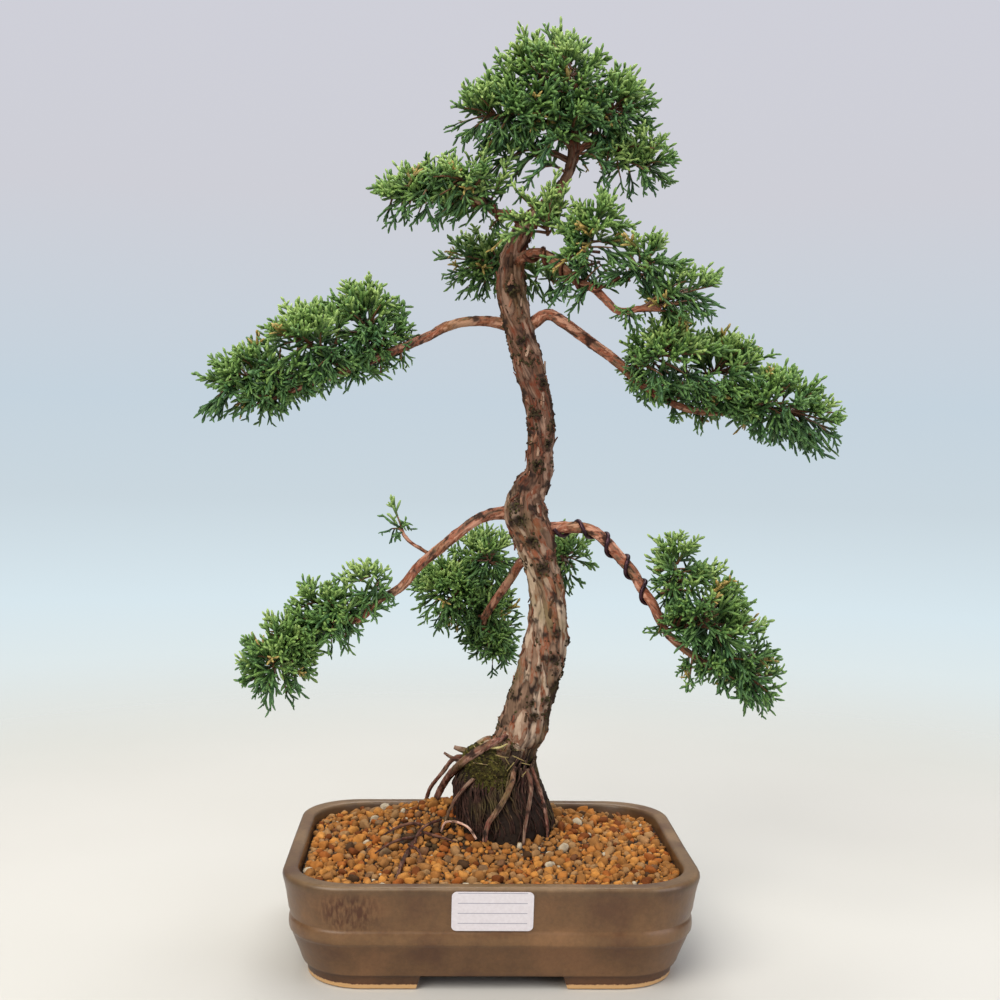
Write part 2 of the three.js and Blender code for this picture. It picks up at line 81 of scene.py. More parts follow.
BRANCHES = {
    "branch_left_low": [
        [16, 12, 229, 4.6], [4, 12, 230, 3.6], [-8, 9, 227, 3], [-17, 6, 221, 2.8], [-29, 3, 211, 2.8],
        [-40, 0, 202, 2.6], [-50, -2, 190, 2.4], [-62, -5, 183, 2.2], [-71, -8, 174, 1.9],
        [-85, -10, 172, 1.7], [-104, -10, 162, 1.4]],
    "branch_left_low_twig": [[-33, 2, 207, 1.1], [-40, 1, 211, 1], [-47, 0, 216, 0.9], [-51, 0, 222, 0.8]],
    "branch_right_low": [
        [20, 12, 219, 4.4], [32, 12, 222, 3.6], [43, 8, 223, 3.1], [52, 5, 222, 3], [60, 1, 216, 3],
        [67, -3, 208, 3], [74, -8, 200, 2.9], [78, -12, 192, 2.8], [83, -16, 185, 2.6],
        [90, -17, 171, 2.2], [97, -18, 164, 2], [108, -20, 156, 1.6], [120, -20, 148, 1.3]],
    "branch_back_low": [
        [24, 14, 208, 3.8], [16, 26, 202, 2.7], [11, 36, 192, 2.5], [6, 47, 183, 2.4], [-1, 58, 170, 2.2],
        [-3, 69, 163, 2], [1, 76, 154, 1.7], [6, 80, 147, 1.4]],
    "branch_left_mid": [
        [11, 6, 329, 4], [2, 8, 332, 3.2], [-10, 6, 333, 2.7], [-26, 3, 330, 2.6], [-37, 0, 324, 2.4],
        [-45, -3, 320, 2.4], [-62, -7, 312, 2.2], [-80, -10, 304, 2], [-101, -10, 296, 1.8],
        [-123, -10, 287, 1.3]],
    "branch_right_mid": [
        [12, 6, 328, 4], [19, 7, 333, 3.4], [26, 4, 337, 3.1], [34, 1, 333, 3.1], [44, -1, 326, 3],
        [52, -3, 320, 2.9], [59, -5, 315, 2.8], [66, -7, 309, 2.6], [75, -8, 301, 2.3], [92, -8, 291, 2],
        [106, -8, 287, 1.8], [127, -8, 286, 1.3]],
    "branch_right_high": [
        [8, 3, 364, 3.4], [13, -3, 367, 2.7], [20, -8, 368, 2.6], [31, -13, 361, 2.5], [40, -17, 352, 2.3],
        [47, -21, 349, 2.2], [54, -25, 342, 2], [60, -26, 337, 1.9], [71, -27, 338, 1.7],
        [82, -28, 338, 1.3]],
    "branch_left_high": [
        [12, 2, 384, 3], [6, -3, 388, 2.4], [-3, -5, 389, 2.2], [-9, -6, 393, 2.1], [-18, -7, 396, 1.9],
        [-33, -7, 399, 1.6], [-46, -8, 401, 1.3]],
    "branch_back_high": [[7, 5, 362, 3], [6, 15, 364, 2.1], [2, 24, 366, 1.8], [-6, 32, 367, 1.4]],
    "branch_apex_right": [[37, 0, 421, 2.2], [46, 1, 427, 1.7], [57, 2, 426, 1.5], [68, 3, 425, 1.2]],
}
ROOTS = {
    "root_left_inner": [
        [12, 8, 111, 1.2], [6, 5, 108, 1.7], [-1, 3, 105, 2.1], [-8, 3, 100.5, 2.4], [-14, 7, 95, 2.3],
        [-18, 16, 89, 2.2], [-21, 27, 83, 2.2], [-24, 37, 76, 2.1], [-27.5, 45, 67, 2], [-30, 50, 58, 1.8],
    ],
    "root_left_outer": [
        [-8, 28, 90, 1.5], [-15, 30, 92, 1.4], [-20, 35, 89, 1.3], [-25, 41, 81, 1.2], [-29.5, 46, 74, 1.2],
        [-33, 52, 67, 1.1], [-35, 56, 58, 1],
    ],
    "root_front": [
        [13, 2, 93, 1.7], [12, -2.5, 88, 1.9], [10.5, -5, 84, 1.9], [7.5, -7, 78, 1.9], [3, -8, 71, 1.8],
        [-1, -9, 65, 1.7], [-3, -11, 56, 1.5],
    ],
    "root_right": [
        [22, 10, 93, 1.2], [26, 8, 83, 1.2], [29, 6.5, 74, 1.1], [31, 4, 65, 1], [32, 3, 54, 0.9],
    ],
    "root_surface_left": [
        [-34, 4, 56, 1.4], [-39, -4, 55, 1.5], [-42, -13, 53, 1.4], [-46, -36, 52, 1.1], [-48, -55, 50, 0.8],
    ],
    "root_surface_arch": [
        [-26, 4, 57, 0.9], [-24, 3, 62, 0.9], [-20.5, 1.5, 63.5, 0.9], [-16, 0, 63, 0.9], [-11, -3, 61, 0.9],
        [-7, -6, 56, 0.9],
    ],
}
WIRES = {
    "wire_right_low": ("branch_right_low", 0.1, 0.62, 4.5),
    "wire_right_high": ("branch_right_high", 0.1, 0.6, 4),
    "wire_left_high": ("branch_left_high", 0.2, 0.75, 2.5),
}

# The limbs that feed each foliage pad: the branch that enters it, and side limbs as [x, y, z] stations.
PADS = {
    "foliage_apex": ["trunk", [[37, 0, 428], [24, -4, 437], [6, -6, 441], [-12, -6, 440]],
                     [[37, 0, 432], [28, 4, 448], [20, 4, 466]], [[37, 0, 430], [50, 3, 442], [66, 4, 449]],
                     [[37, 0, 440], [36, -10, 455], [34, -14, 468]]],
    "foliage_apex_right": ["branch_apex_right", [[57, 2, 426], [70, 8, 418], [82, 8, 416]]],
    "foliage_left_high": ["branch_left_high", [[-33, -7, 399], [-48, -12, 396], [-60, -8, 394]],
                          [[-9, -6, 393], [-18, -14, 402], [-24, -20, 404]]],
    "foliage_front_high": [[[10, -2, 368], [13, -12, 376], [17, -20, 386]]],
    "foliage_back_high": ["branch_back_high", [[4, 20, 365], [18, 32, 362], [34, 38, 359]]],
    "foliage_right_high": ["branch_right_high", [[31, -13, 361], [42, -20, 370], [49, -22, 384]],
                           [[54, -25, 342], [68, -26, 354], [76, -26, 364]]],
    "foliage_left_mid": ["branch_left_mid", [[-62, -7, 312], [-68, -6, 324], [-72, -4, 338]],
                         [[-80, -10, 304], [-94, -18, 314], [-104, -20, 322]],
                         [[-101, -10, 296], [-122, -4, 300], [-140, -8, 298]]],
    "foliage_right_mid": ["branch_right_mid", [[66, -7, 309], [82, -10, 314], [92, -14, 322]],
                          [[92, -8, 291], [110, -2, 302], [122, 0, 314]],
                          [[106, -8, 287], [136, -12, 290], [160, -10, 287]]],
    "foliage_left_low": ["branch_left_low", [[-50, -2, 190], [-62, -6, 194], [-70, -8, 200]],
                         [[-71, -8, 174], [-88, -4, 178], [-98, -2, 184]],
                         [[-85, -10, 172], [-104, -12, 158], [-118, -14, 148]]],
    "foliage_left_low_tuft": ["branch_left_low_twig"],
    "foliage_right_low": ["branch_right_low", [[83, -16, 185], [92, -14, 196], [98, -12, 210]],
                          [[90, -17, 171], [108, -22, 174], [120, -20, 172]],
                          [[108, -20, 156], [124, -18, 152], [138, -18, 144]]],
    "foliage_back_low": ["branch_back_low", [[-1, 58, 170], [-14, 64, 180], [-30, 70, 184]],
                         [[6, 47, 183], [2, 62, 196], [-4, 76, 203]]],
    "foliage_back_low_right": [[[18, 24, 204], [32, 42, 204], [46, 58, 203]]],
}


# ---- small tools -------------------------------------------------
def at(x, y, z):
    """A place in pot millimetres as a point of the frame, in metres."""
    return POT_MIDDLE + Vector((x, y, z)) * MM


def linear(code):
    """A colour written as sRGB hex, as linear RGBA."""
    channels = [int(code[i:i + 2], 16) / 255 for i in (1, 3, 5)]
    return [c / 12.92 if c <= 0.04045 else ((c + 0.055) / 1.055) ** 2.4 for c in channels] + [1.0]


def clear_selection():
    if bpy.context.object and bpy.context.object.mode != "OBJECT":
        bpy.ops.object.mode_set(mode="OBJECT")
    bpy.ops.object.select_all(action="DESELECT")


def take(piece):
    """Makes one object the selected and active one."""
    clear_selection()
    piece.select_set(True)
    bpy.context.view_layer.objects.active = piece


def join(pieces):
    take(pieces[0])
    for piece in pieces:
        piece.select_set(True)
    bpy.ops.object.join()
    return bpy.context.object


def edit_all(kind=None):
    """Enters edit mode with everything selected, picking by vertex, edge or face where kind says."""
    bpy.ops.object.mode_set(mode="EDIT")
    if kind:
        bpy.ops.mesh.select_mode(type=kind)
    bpy.ops.mesh.select_all(action="SELECT")


def face_outwards():
    """Turns every face outwards and leaves edit mode."""
    bpy.ops.mesh.select_all(action="SELECT")
    bpy.ops.mesh.normals_make_consistent(inside=False)
    bpy.ops.object.mode_set(mode="OBJECT")


def apply_place(piece):
    take(piece)
    bpy.ops.object.transform_apply(location=True, rotation=True, scale=True)


def modify(piece, kind, **settings):
    """Adds a modifier and applies it."""
    take(piece)
    modifier = piece.modifiers.new(kind.title(), kind)
    for name, value in settings.items():
        setattr(modifier, name, value)
    bpy.ops.object.modifier_apply(modifier=modifier.name)


def finish_piece(piece, name, material, slot, *nodes, smooth=True, angle=None):
    """Names a piece, gives it its finish, hangs it under the frame's root body and hides the CAD nodes it
    stands for.
    """
    piece.name = piece.data.name = name
    piece.data.materials.clear()
    piece.data.materials.append(material)
    take(piece)
    if angle is not None:
        bpy.ops.object.shade_smooth_by_angle(angle=math.radians(angle))
    elif smooth:
        bpy.ops.object.shade_smooth()
    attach(piece, "root")
    if nodes:
        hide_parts(*nodes)
    return piece


def coat(node, material):
    """Gives a CAD node that stays in view its finish."""
    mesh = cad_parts[node].data
    mesh.materials.clear()
    mesh.materials.append(material)


def points_of(mesh):
    found = np.empty(len(mesh.vertices) * 3)
    mesh.vertices.foreach_get("co", found)
    return found.reshape(-1, 3)


def normals_of(mesh):
    found = np.empty(len(mesh.vertices) * 3)
    mesh.vertices.foreach_get("normal", found)
    return found.reshape(-1, 3)


def set_points(mesh, places):
    mesh.vertices.foreach_set("co", np.asarray(places, np.float32).ravel())
    mesh.update()


def set_attribute(mesh, name, values, kind="FLOAT"):
    layer = mesh.attributes.new(name, kind, "POINT")
    field = "vector" if kind == "FLOAT_VECTOR" else "value"
    layer.data.foreach_set(field, np.asarray(values, np.float32).ravel())


def read_attribute(mesh, name, width=1):
    found = np.empty(len(mesh.vertices) * width)
    mesh.attributes[name].data.foreach_get("vector" if width == 3 else "value", found)
    return found.reshape(-1, 3) if width == 3 else found


def smoothstep(low, high, value):
    t = np.clip((value - low) / (high - low), 0, 1)
    return t * t * (3 - 2 * t)


def surface_of(node):
    """A search tree over a CAD node's surface."""
    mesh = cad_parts[node].data
    return BVHTree.FromPolygons([v.co[:] for v in mesh.vertices], [p.vertices[:] for p in mesh.polygons])


class Heap:
    """Many copies of small all-quad shapes, gathered into one mesh with a palette map.

    Each copy holds its own column of the map, so its colour can differ from its neighbours'."""

    def __init__(self):
        self.points, self.quads, self.map = [], [], []
        self.count = 0

    def add(self, shape, places, columns):
        """places holds a 3x4 matrix for each copy, columns the map's u where its column starts."""
        points, quads, uv = shape
        places = np.asarray(places)
        copies = np.einsum("kij,nj->kni", places[:, :, :3], points) + places[:, None, :, 3]
        first = self.count + len(points) * np.arange(len(places))
        self.points.append(copies.reshape(-1, 3))
        self.quads.append((quads[None] + first[:, None, None]).reshape(-1, 4))
        moved = np.repeat(uv[None], len(places), 0)
        moved[:, :, :, 0] += np.asarray(columns)[:, None, None]
        self.map.append(moved.reshape(-1, 2))
        self.count += len(points) * len(places)

    def build(self, name):
        points = np.concatenate(self.points)
        quads = np.concatenate(self.quads)
        mesh = bpy.data.meshes.new(name)
        mesh.vertices.add(len(points))
        mesh.vertices.foreach_set("co", points.astype(np.float32).ravel())
        mesh.loops.add(quads.size)
        mesh.loops.foreach_set("vertex_index", quads.astype(np.int32).ravel())
        mesh.polygons.add(len(quads))
        mesh.polygons.foreach_set("loop_start", np.arange(0, quads.size, 4, dtype=np.int32))
        layer = mesh.uv_layers.new(name="OFBake")
        layer.data.foreach_set("uv", np.concatenate(self.map).astype(np.float32).ravel())
        mesh.update(calc_edges=True)
        mesh.validate()
        piece = bpy.data.objects.new(name, mesh)
        bpy.context.scene.collection.objects.link(piece)
        return piece


def shape_of(piece, width):
    """A modelled template as arrays for a Heap. Its "along" attribute becomes the map's v, and the
    way round its own axis the map's u, within a column of the given width."""
    mesh = piece.data
    points = points_of(mesh)
    along, turn = read_attribute(mesh, "along"), read_attribute(mesh, "turn")
    quads = np.array([p.vertices[:] for p in mesh.polygons if len(p.vertices) == 4])
    u = turn[quads]
    u = np.where((u.max(1) - u.min(1) > 0.5)[:, None] & (u < 0.5), u + 1, u) / 2
    uv = np.stack([u * width, along[quads]], 2)
    bpy.data.objects.remove(piece)
    return points, quads, uv


# ---- materials ---------------------------------------------------
def feed(tree, node, inputs):
    """Gives a node's inputs their links and values."""
    for name, value in inputs.items():
        if isinstance(value, bpy.types.NodeSocket):
            tree.links.new(value, node.inputs[name])
        else:
            node.inputs[name].default_value = value


def add(tree, kind, inputs=None, stops=None, **settings):
    """Adds a node with its settings, its input values and its links, and a ramp's colour stops."""
    made = tree.nodes.new(kind)
    for name, value in settings.items():
        setattr(made, name, value)
    if stops:
        elements = made.color_ramp.elements
        while len(elements) < len(stops):
            elements.new(0.5)
        for element, (position, code) in zip(elements, stops):
            element.position = position
            element.color = linear(code)
    feed(tree, made, inputs or {})
    return made


def new_material(name):
    """A material with an output and one Principled shader, whose tree the caller fills."""
    material = bpy.data.materials.new(name)
    material.use_nodes = True
    tree = material.node_tree
    tree.nodes.clear()
    shader = add(tree, "ShaderNodeBsdfPrincipled")
    add(tree, "ShaderNodeOutputMaterial", {"Surface": shader.outputs[0]})
    return material, tree, shader


def juniper_leaf():
    """Scale leaves packed on cord-like shoots: dark at the base, yellow-green at the growing tip,
    with a soft waxy sheen. The map's u is painted light, running from shoots in painted shade to
    sunlit ones, and v runs from the shoot's base to its tip. Above the greens u holds the dried
    shoots, and its last part is the brown bark of the fine twigs."""
    material, tree, shader = new_material("juniper_scale_leaf")
    uv = add(tree, "ShaderNodeUVMap", uv_map="OFBake")
    split = add(tree, "ShaderNodeSeparateXYZ", {"Vector": uv.outputs[0]})
    # Up to 0.72, u is painted light: darkest for shoots in painted shade, lightest for sunlit ones.
    base = add(tree, "ShaderNodeValToRGB", {"Fac": split.outputs[0]}, stops=[
        (0.0, "#16301c"), (0.3, "#234120"), (0.55, "#335326"), (0.72, "#4d6e34"), (0.77, "#6b5a2a"),
        (0.8, "#5d3a24"), (0.9, "#6b4430")])
    tip = add(tree, "ShaderNodeValToRGB", {"Fac": split.outputs[0]}, stops=[
        (0.0, "#3d6b44"), (0.3, "#577f44"), (0.55, "#789c4a"), (0.72, "#a6c06c"), (0.77, "#b98a4a"),
        (0.8, "#6f4a30"), (0.9, "#7d5a3e")])
    age = add(tree, "ShaderNodeMapRange", {"Value": split.outputs[1], "From Min": 0.1, "From Max": 1.0},
              interpolation_type="SMOOTHSTEP")
    green = add(tree, "ShaderNodeMix", {0: age.outputs[0], 6: base.outputs[0], 7: tip.outputs[0]},
                data_type="RGBA")
    # Scale leaves are about a millimetre long, so each cord shows a few faint bands.
    bands = add(tree, "ShaderNodeMath", {0: split.outputs[1], 1: 60.0}, operation="MULTIPLY")
    wave = add(tree, "ShaderNodeMath", {0: bands.outputs[0]}, operation="SINE")
    shade = add(tree, "ShaderNodeMapRange", {"Value": wave.outputs[0], "From Min": -1.0, "From Max": 1.0,
                                             "To Min": 0.82, "To Max": 1.08})
    tinted = add(tree, "ShaderNodeMix", {0: 1.0, 6: green.outputs[2], 7: shade.outputs[0]},
                 data_type="RGBA", blend_type="MULTIPLY")
    feed(tree, shader, {"Base Color": tinted.outputs[2], "Roughness": 0.5, "IOR": 1.45})
    return material


def flaking_bark(name, light, mid, warm, dark, wet=None, grain_mm=5.0, algae_share=0.6):
    """Juniper bark in flat peeling plates: grey-tan where it has weathered, red-brown where a plate
    has just come off, nearly black in the cracks. The "crack" and "plate" attributes of the stem
    say where those are; wet, where given, is the colour of the soaked root base, and the young
    wood near the top is then a little darker and purpler."""
    material, tree, shader = new_material(name)
    place = add(tree, "ShaderNodeTexCoord")
    crack = add(tree, "ShaderNodeAttribute", attribute_name="crack")
    plate = add(tree, "ShaderNodeAttribute", attribute_name="plate")
    grain = add(tree, "ShaderNodeAttribute", attribute_name="grain")
    streak = add(tree, "ShaderNodeTexNoise", {
        "Vector": grain.outputs["Vector"], "Scale": 1 / (grain_mm * MM), "Detail": 7.0, "Roughness": 0.72})
    blotch = add(tree, "ShaderNodeTexNoise", {
        "Vector": place.outputs["Object"], "Scale": 1 / (14 * MM), "Detail": 3.0})
    broad = add(tree, "ShaderNodeMath", {0: plate.outputs["Fac"], 1: 1.4, 2: blotch.outputs["Fac"]},
                operation="MULTIPLY_ADD")
    tone = add(tree, "ShaderNodeMath", {0: streak.outputs["Fac"], 1: 0.6, 2: broad.outputs[0]},
               operation="MULTIPLY_ADD")
    level = add(tree, "ShaderNodeMapRange", {"Value": tone.outputs[0], "From Min": 1.0, "From Max": 1.95})
    colour = add(tree, "ShaderNodeValToRGB", {"Fac": level.outputs[0]},
                 stops=[(0.0, dark), (0.2, "#6e5644"), (0.42, mid), (0.54, warm), (0.64, mid),
                        (0.88, light)])
    algae = add(tree, "ShaderNodeTexNoise", {
        "Vector": place.outputs["Object"], "Scale": 1 / (22 * MM), "Detail": 5.0, "W": 3.1},
        noise_dimensions="4D")
    green = add(tree, "ShaderNodeMapRange", {"Value": algae.outputs["Fac"], "From Min": 0.5,
                                             "From Max": 0.66, "To Max": algae_share})
    mossy = add(tree, "ShaderNodeMix", {0: green.outputs[0], 6: colour.outputs[0], 7: linear("#686238")},
                data_type="RGBA")
    last = mossy.outputs[2]
    if wet:
        height = add(tree, "ShaderNodeSeparateXYZ", {"Vector": place.outputs["Object"]})
        damp = add(tree, "ShaderNodeMath", {0: blotch.outputs["Fac"], 1: 18 * MM}, operation="MULTIPLY")
        damp = add(tree, "ShaderNodeMath", {0: height.outputs[2], 1: damp.outputs[0]}, operation="ADD")
        high = add(tree, "ShaderNodeMapRange", {"Value": height.outputs[2], "From Min": 205 * MM,
                                                "From Max": 250 * MM, "To Max": 0.75})
        aged = add(tree, "ShaderNodeMix", {0: high.outputs[0], 6: last, 7: linear("#b59a96")},
                   data_type="RGBA", blend_type="MULTIPLY")
        last = aged.outputs[2]
        soaked = add(tree, "ShaderNodeMapRange", {"Value": damp.outputs[0], "From Min": 113 * MM,
                                                  "From Max": 103 * MM})
        wet_mix = add(tree, "ShaderNodeMix", {0: soaked.outputs[0], 6: last, 7: linear(wet)},
                      data_type="RGBA")
        last = wet_mix.outputs[2]
    cracked = add(tree, "ShaderNodeMix", {0: crack.outputs["Fac"], 6: last, 7: linear("#1e1410")},
                  data_type="RGBA")
    fibre = add(tree, "ShaderNodeTexNoise", {
        "Vector": grain.outputs["Vector"], "Scale": 1 / (1.6 * MM), "Detail": 4.0})
    bump = add(tree, "ShaderNodeBump", {"Height": fibre.outputs["Fac"], "Distance": 0.5 * MM,
                                        "Strength": 0.7})
    feed(tree, shader, {"Base Color": cracked.outputs[2], "Normal": bump.outputs[0], "Roughness": 0.88,
                        "Specular IOR Level": 0.25})
    return material


def palette_mineral(name, stops, roughness, bump_mm):
    """Fired clay, pumice or peat grains: the map's u picks the grain's colour, v shades it, and a
    fine pitted surface takes any shine away."""
    material, tree, shader = new_material(name)
    uv = add(tree, "ShaderNodeUVMap", uv_map="OFBake")
    split = add(tree, "ShaderNodeSeparateXYZ", {"Vector": uv.outputs[0]})
    colour = add(tree, "ShaderNodeValToRGB", {"Fac": split.outputs[0]}, stops=stops)
    shade = add(tree, "ShaderNodeMapRange", {"Value": split.outputs[1], "To Min": 0.58, "To Max": 1.2})
    tinted = add(tree, "ShaderNodeMix", {0: 1.0, 6: colour.outputs[0], 7: shade.outputs[0]},
                 data_type="RGBA", blend_type="MULTIPLY")
    place = add(tree, "ShaderNodeTexCoord")
    pits = add(tree, "ShaderNodeTexNoise", {
        "Vector": place.outputs["Object"], "Scale": 1 / (0.9 * MM), "Detail": 4.0, "Roughness": 0.65})
    bump = add(tree, "ShaderNodeBump", {"Height": pits.outputs["Fac"], "Distance": bump_mm * MM,
                                        "Strength": 0.8})
    feed(tree, shader, {"Base Color": tinted.outputs[2], "Normal": bump.outputs[0],
                        "Roughness": roughness, "Specular IOR Level": 0.2})
    return material


# The iron run on the pot's wall: its middle, its half size and the size of one drip.
RUN_PLACE, RUN_SIZE, DRIP_SIZE = (-70, -78, 41), (17, 12, 11), (1.7, 1.7, 6)


def stoneware_glaze():
    """A thin brown iron glaze on stoneware, wiped on by hand: semi-matt, mottled, darker in the belt
    and round the feet, paler taupe on the lip under a pale bluish painted highlight of the sky's
    reflection, and bare cream clay where the feet touch down."""
    material, tree, shader = new_material("brown_stoneware_glaze")
    place = add(tree, "ShaderNodeTexCoord")
    height = add(tree, "ShaderNodeSeparateXYZ", {"Vector": place.outputs["Object"]})
    cloud = add(tree, "ShaderNodeTexNoise", {
        "Vector": place.outputs["Object"], "Scale": 1 / (30 * MM), "Detail": 5.0, "Roughness": 0.6})
    speck = add(tree, "ShaderNodeTexNoise", {
        "Vector": place.outputs["Object"], "Scale": 1 / (2.2 * MM), "Detail": 3.0, "Roughness": 0.7})
    level = add(tree, "ShaderNodeMapRange", {"Value": cloud.outputs["Fac"], "From Min": 0.36,
                                             "From Max": 0.66})
    brown = add(tree, "ShaderNodeValToRGB", {"Fac": level.outputs[0]},
                stops=[(0.0, "#573f29"), (0.45, "#665035"), (1.0, "#765c3f")])
    stain = add(tree, "ShaderNodeMapRange", {"Value": speck.outputs["Fac"], "From Min": 0.3,
                                             "From Max": 0.7, "To Min": 0.86, "To Max": 1.1})
    mottled = add(tree, "ShaderNodeMix", {0: 1.0, 6: brown.outputs[0], 7: stain.outputs[0]},
                  data_type="RGBA", blend_type="MULTIPLY")
    bands = add(tree, "ShaderNodeMapRange", {"Value": height.outputs[2], "From Max": POT_HEIGHT * MM})
    # Tone by height; the top two stops, pale and bluish, are a painted highlight of the sky's reflection on
    # the lip.
    height_tone_and_lip_highlight = add(tree, "ShaderNodeValToRGB", {"Fac": bands.outputs[0]}, stops=[
        (0.0, "#8a5a48"), (0.045, "#7c4a3c"), (0.06, "#8f7868"), (0.13, "#8c7666"),
        (0.15, "#b8a799"), (0.42, "#a99586"), (0.47, "#c7b7a8"),
        (0.6, "#c2b1a2"), (0.9, "#b3a192"), (0.96, "#a39a93"), (0.985, "#cac9cb"), (1.0, "#dedfe4")])
    toned = add(tree, "ShaderNodeMix", {0: 1.0, 6: mottled.outputs[2], 7: height_tone_and_lip_highlight.outputs[0]},
                data_type="RGBA", blend_type="MULTIPLY")
    # An iron run where the glaze was wiped thin, on the front left of the wall.
    off = add(tree, "ShaderNodeVectorMath", {0: place.outputs["Object"], 1: tuple(at(*RUN_PLACE))},
              operation="SUBTRACT")
    off = add(tree, "ShaderNodeVectorMath", {0: off.outputs[0], 1: [1 / (s * MM) for s in RUN_SIZE]},
              operation="MULTIPLY")
    off = add(tree, "ShaderNodeVectorMath", {0: off.outputs[0]}, operation="LENGTH")
    near = add(tree, "ShaderNodeMapRange", {"Value": off.outputs["Value"], "From Min": 1.1,
                                            "From Max": 0.55})
    drip = add(tree, "ShaderNodeVectorMath", {0: place.outputs["Object"],
                                              1: [1 / (s * MM) for s in DRIP_SIZE]}, operation="MULTIPLY")
    drip = add(tree, "ShaderNodeTexNoise", {"Vector": drip.outputs[0], "Scale": 1.0, "Detail": 3.0})
    runs = add(tree, "ShaderNodeMapRange", {"Value": drip.outputs["Fac"], "From Min": 0.4,
                                            "From Max": 0.6})
    rust = add(tree, "ShaderNodeMath", {0: near.outputs[0], 1: runs.outputs[0]}, operation="MULTIPLY")
    toned = add(tree, "ShaderNodeMix", {0: rust.outputs[0], 6: toned.outputs[2], 7: linear("#b4916d")},
                data_type="RGBA", blend_type="MULTIPLY")
    bright = add(tree, "ShaderNodeMix", {0: 1.0, 6: toned.outputs[2], 7: (1.9, 1.9, 1.9, 1.0)},
                 data_type="RGBA", blend_type="MULTIPLY")
    edge = add(tree, "ShaderNodeMath", {0: speck.outputs["Fac"], 1: 1.6 * MM}, operation="MULTIPLY")
    edge = add(tree, "ShaderNodeMath", {0: height.outputs[2], 1: edge.outputs[0]}, operation="SUBTRACT")
    bare = add(tree, "ShaderNodeMapRange", {"Value": edge.outputs[0], "From Min": 1.9 * MM,
                                            "From Max": 1.3 * MM})
    clay = add(tree, "ShaderNodeMix", {0: bare.outputs[0], 6: bright.outputs[2], 7: linear("#c39a68")},
               data_type="RGBA")
    rough = add(tree, "ShaderNodeMapRange", {"Value": level.outputs[0], "To Min": 0.3, "To Max": 0.48})
    bump = add(tree, "ShaderNodeBump", {"Height": speck.outputs["Fac"], "Distance": 0.25 * MM,
                                        "Strength": 0.35})
    feed(tree, shader, {"Base Color": clay.outputs[2], "Roughness": rough.outputs[0],
                        "Normal": bump.outputs[0]})
    return material


def anodised_wire(name, colour, shadow):
    """Soft aluminium wire with a worn brown or copper anodised skin: metallic, dull, slightly
    scuffed."""
    material, tree, shader = new_material(name)
    place = add(tree, "ShaderNodeTexCoord")
    scuff = add(tree, "ShaderNodeTexNoise", {
        "Vector": place.outputs["Object"], "Scale": 1 / (3 * MM), "Detail": 4.0})
    tone = add(tree, "ShaderNodeValToRGB", {"Fac": scuff.outputs["Fac"]},
               stops=[(0.35, shadow), (0.65, colour)])
    feed(tree, shader, {"Base Color": tone.outputs[0], "Metallic": 0.75, "Roughness": 0.42})
    return material


def coated_card():
    """Coated card: cool white, faintly mottled, with ruled lines to write on."""
    material, tree, shader = new_material("coated_card")
    place = add(tree, "ShaderNodeTexCoord")
    fibre = add(tree, "ShaderNodeTexNoise", {
        "Vector": place.outputs["Object"], "Scale": 1 / (1.5 * MM), "Detail": 3.0})
    white = add(tree, "ShaderNodeValToRGB", {"Fac": fibre.outputs["Fac"]},
                stops=[(0.3, "#cfc8cb"), (0.7, "#d8d2d5")])
    height = add(tree, "ShaderNodeSeparateXYZ", {"Vector": place.outputs["Object"]})
    rows = add(tree, "ShaderNodeMath", {0: height.outputs[2], 1: 1 / (5.2 * MM)}, operation="MULTIPLY")
    row = add(tree, "ShaderNodeMath", {0: rows.outputs[0]}, operation="FRACT")
    rule = add(tree, "ShaderNodeMath", {0: row.outputs[0], 1: 0.07}, operation="LESS_THAN")
    across = add(tree, "ShaderNodeMath", {0: height.outputs[0], 1: (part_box("label")[0].x + 3 * MM)},
                 operation="GREATER_THAN")
    short = add(tree, "ShaderNodeMath", {0: height.outputs[0], 1: (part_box("label")[1].x - 3 * MM)},
                operation="LESS_THAN")
    inside = add(tree, "ShaderNodeMath", {0: across.outputs[0], 1: short.outputs[0]}, operation="MULTIPLY")
    ruled = add(tree, "ShaderNodeMath", {0: rule.outputs[0], 1: inside.outputs[0]}, operation="MULTIPLY")
    card = add(tree, "ShaderNodeMix", {0: ruled.outputs[0], 6: white.outputs[0], 7: linear("#8f8d9c")},
               data_type="RGBA")
    feed(tree, shader, {"Base Color": card.outputs[2], "Roughness": 0.38})
    return material


def moulded_mesh():
    """Black polypropylene mesh, moulded, with a dull skin."""
    material, tree, shader = new_material("moulded_polypropylene")
    place = add(tree, "ShaderNodeTexCoord")
    skin = add(tree, "ShaderNodeTexNoise", {
        "Vector": place.outputs["Object"], "Scale": 1 / (0.8 * MM), "Detail": 2.0})
    tone = add(tree, "ShaderNodeValToRGB", {"Fac": skin.outputs["Fac"]},
               stops=[(0.3, "#191b18"), (0.7, "#2a2d28")])
    feed(tree, shader, {"Base Color": tone.outputs[0], "Roughness": 0.6})
    return material


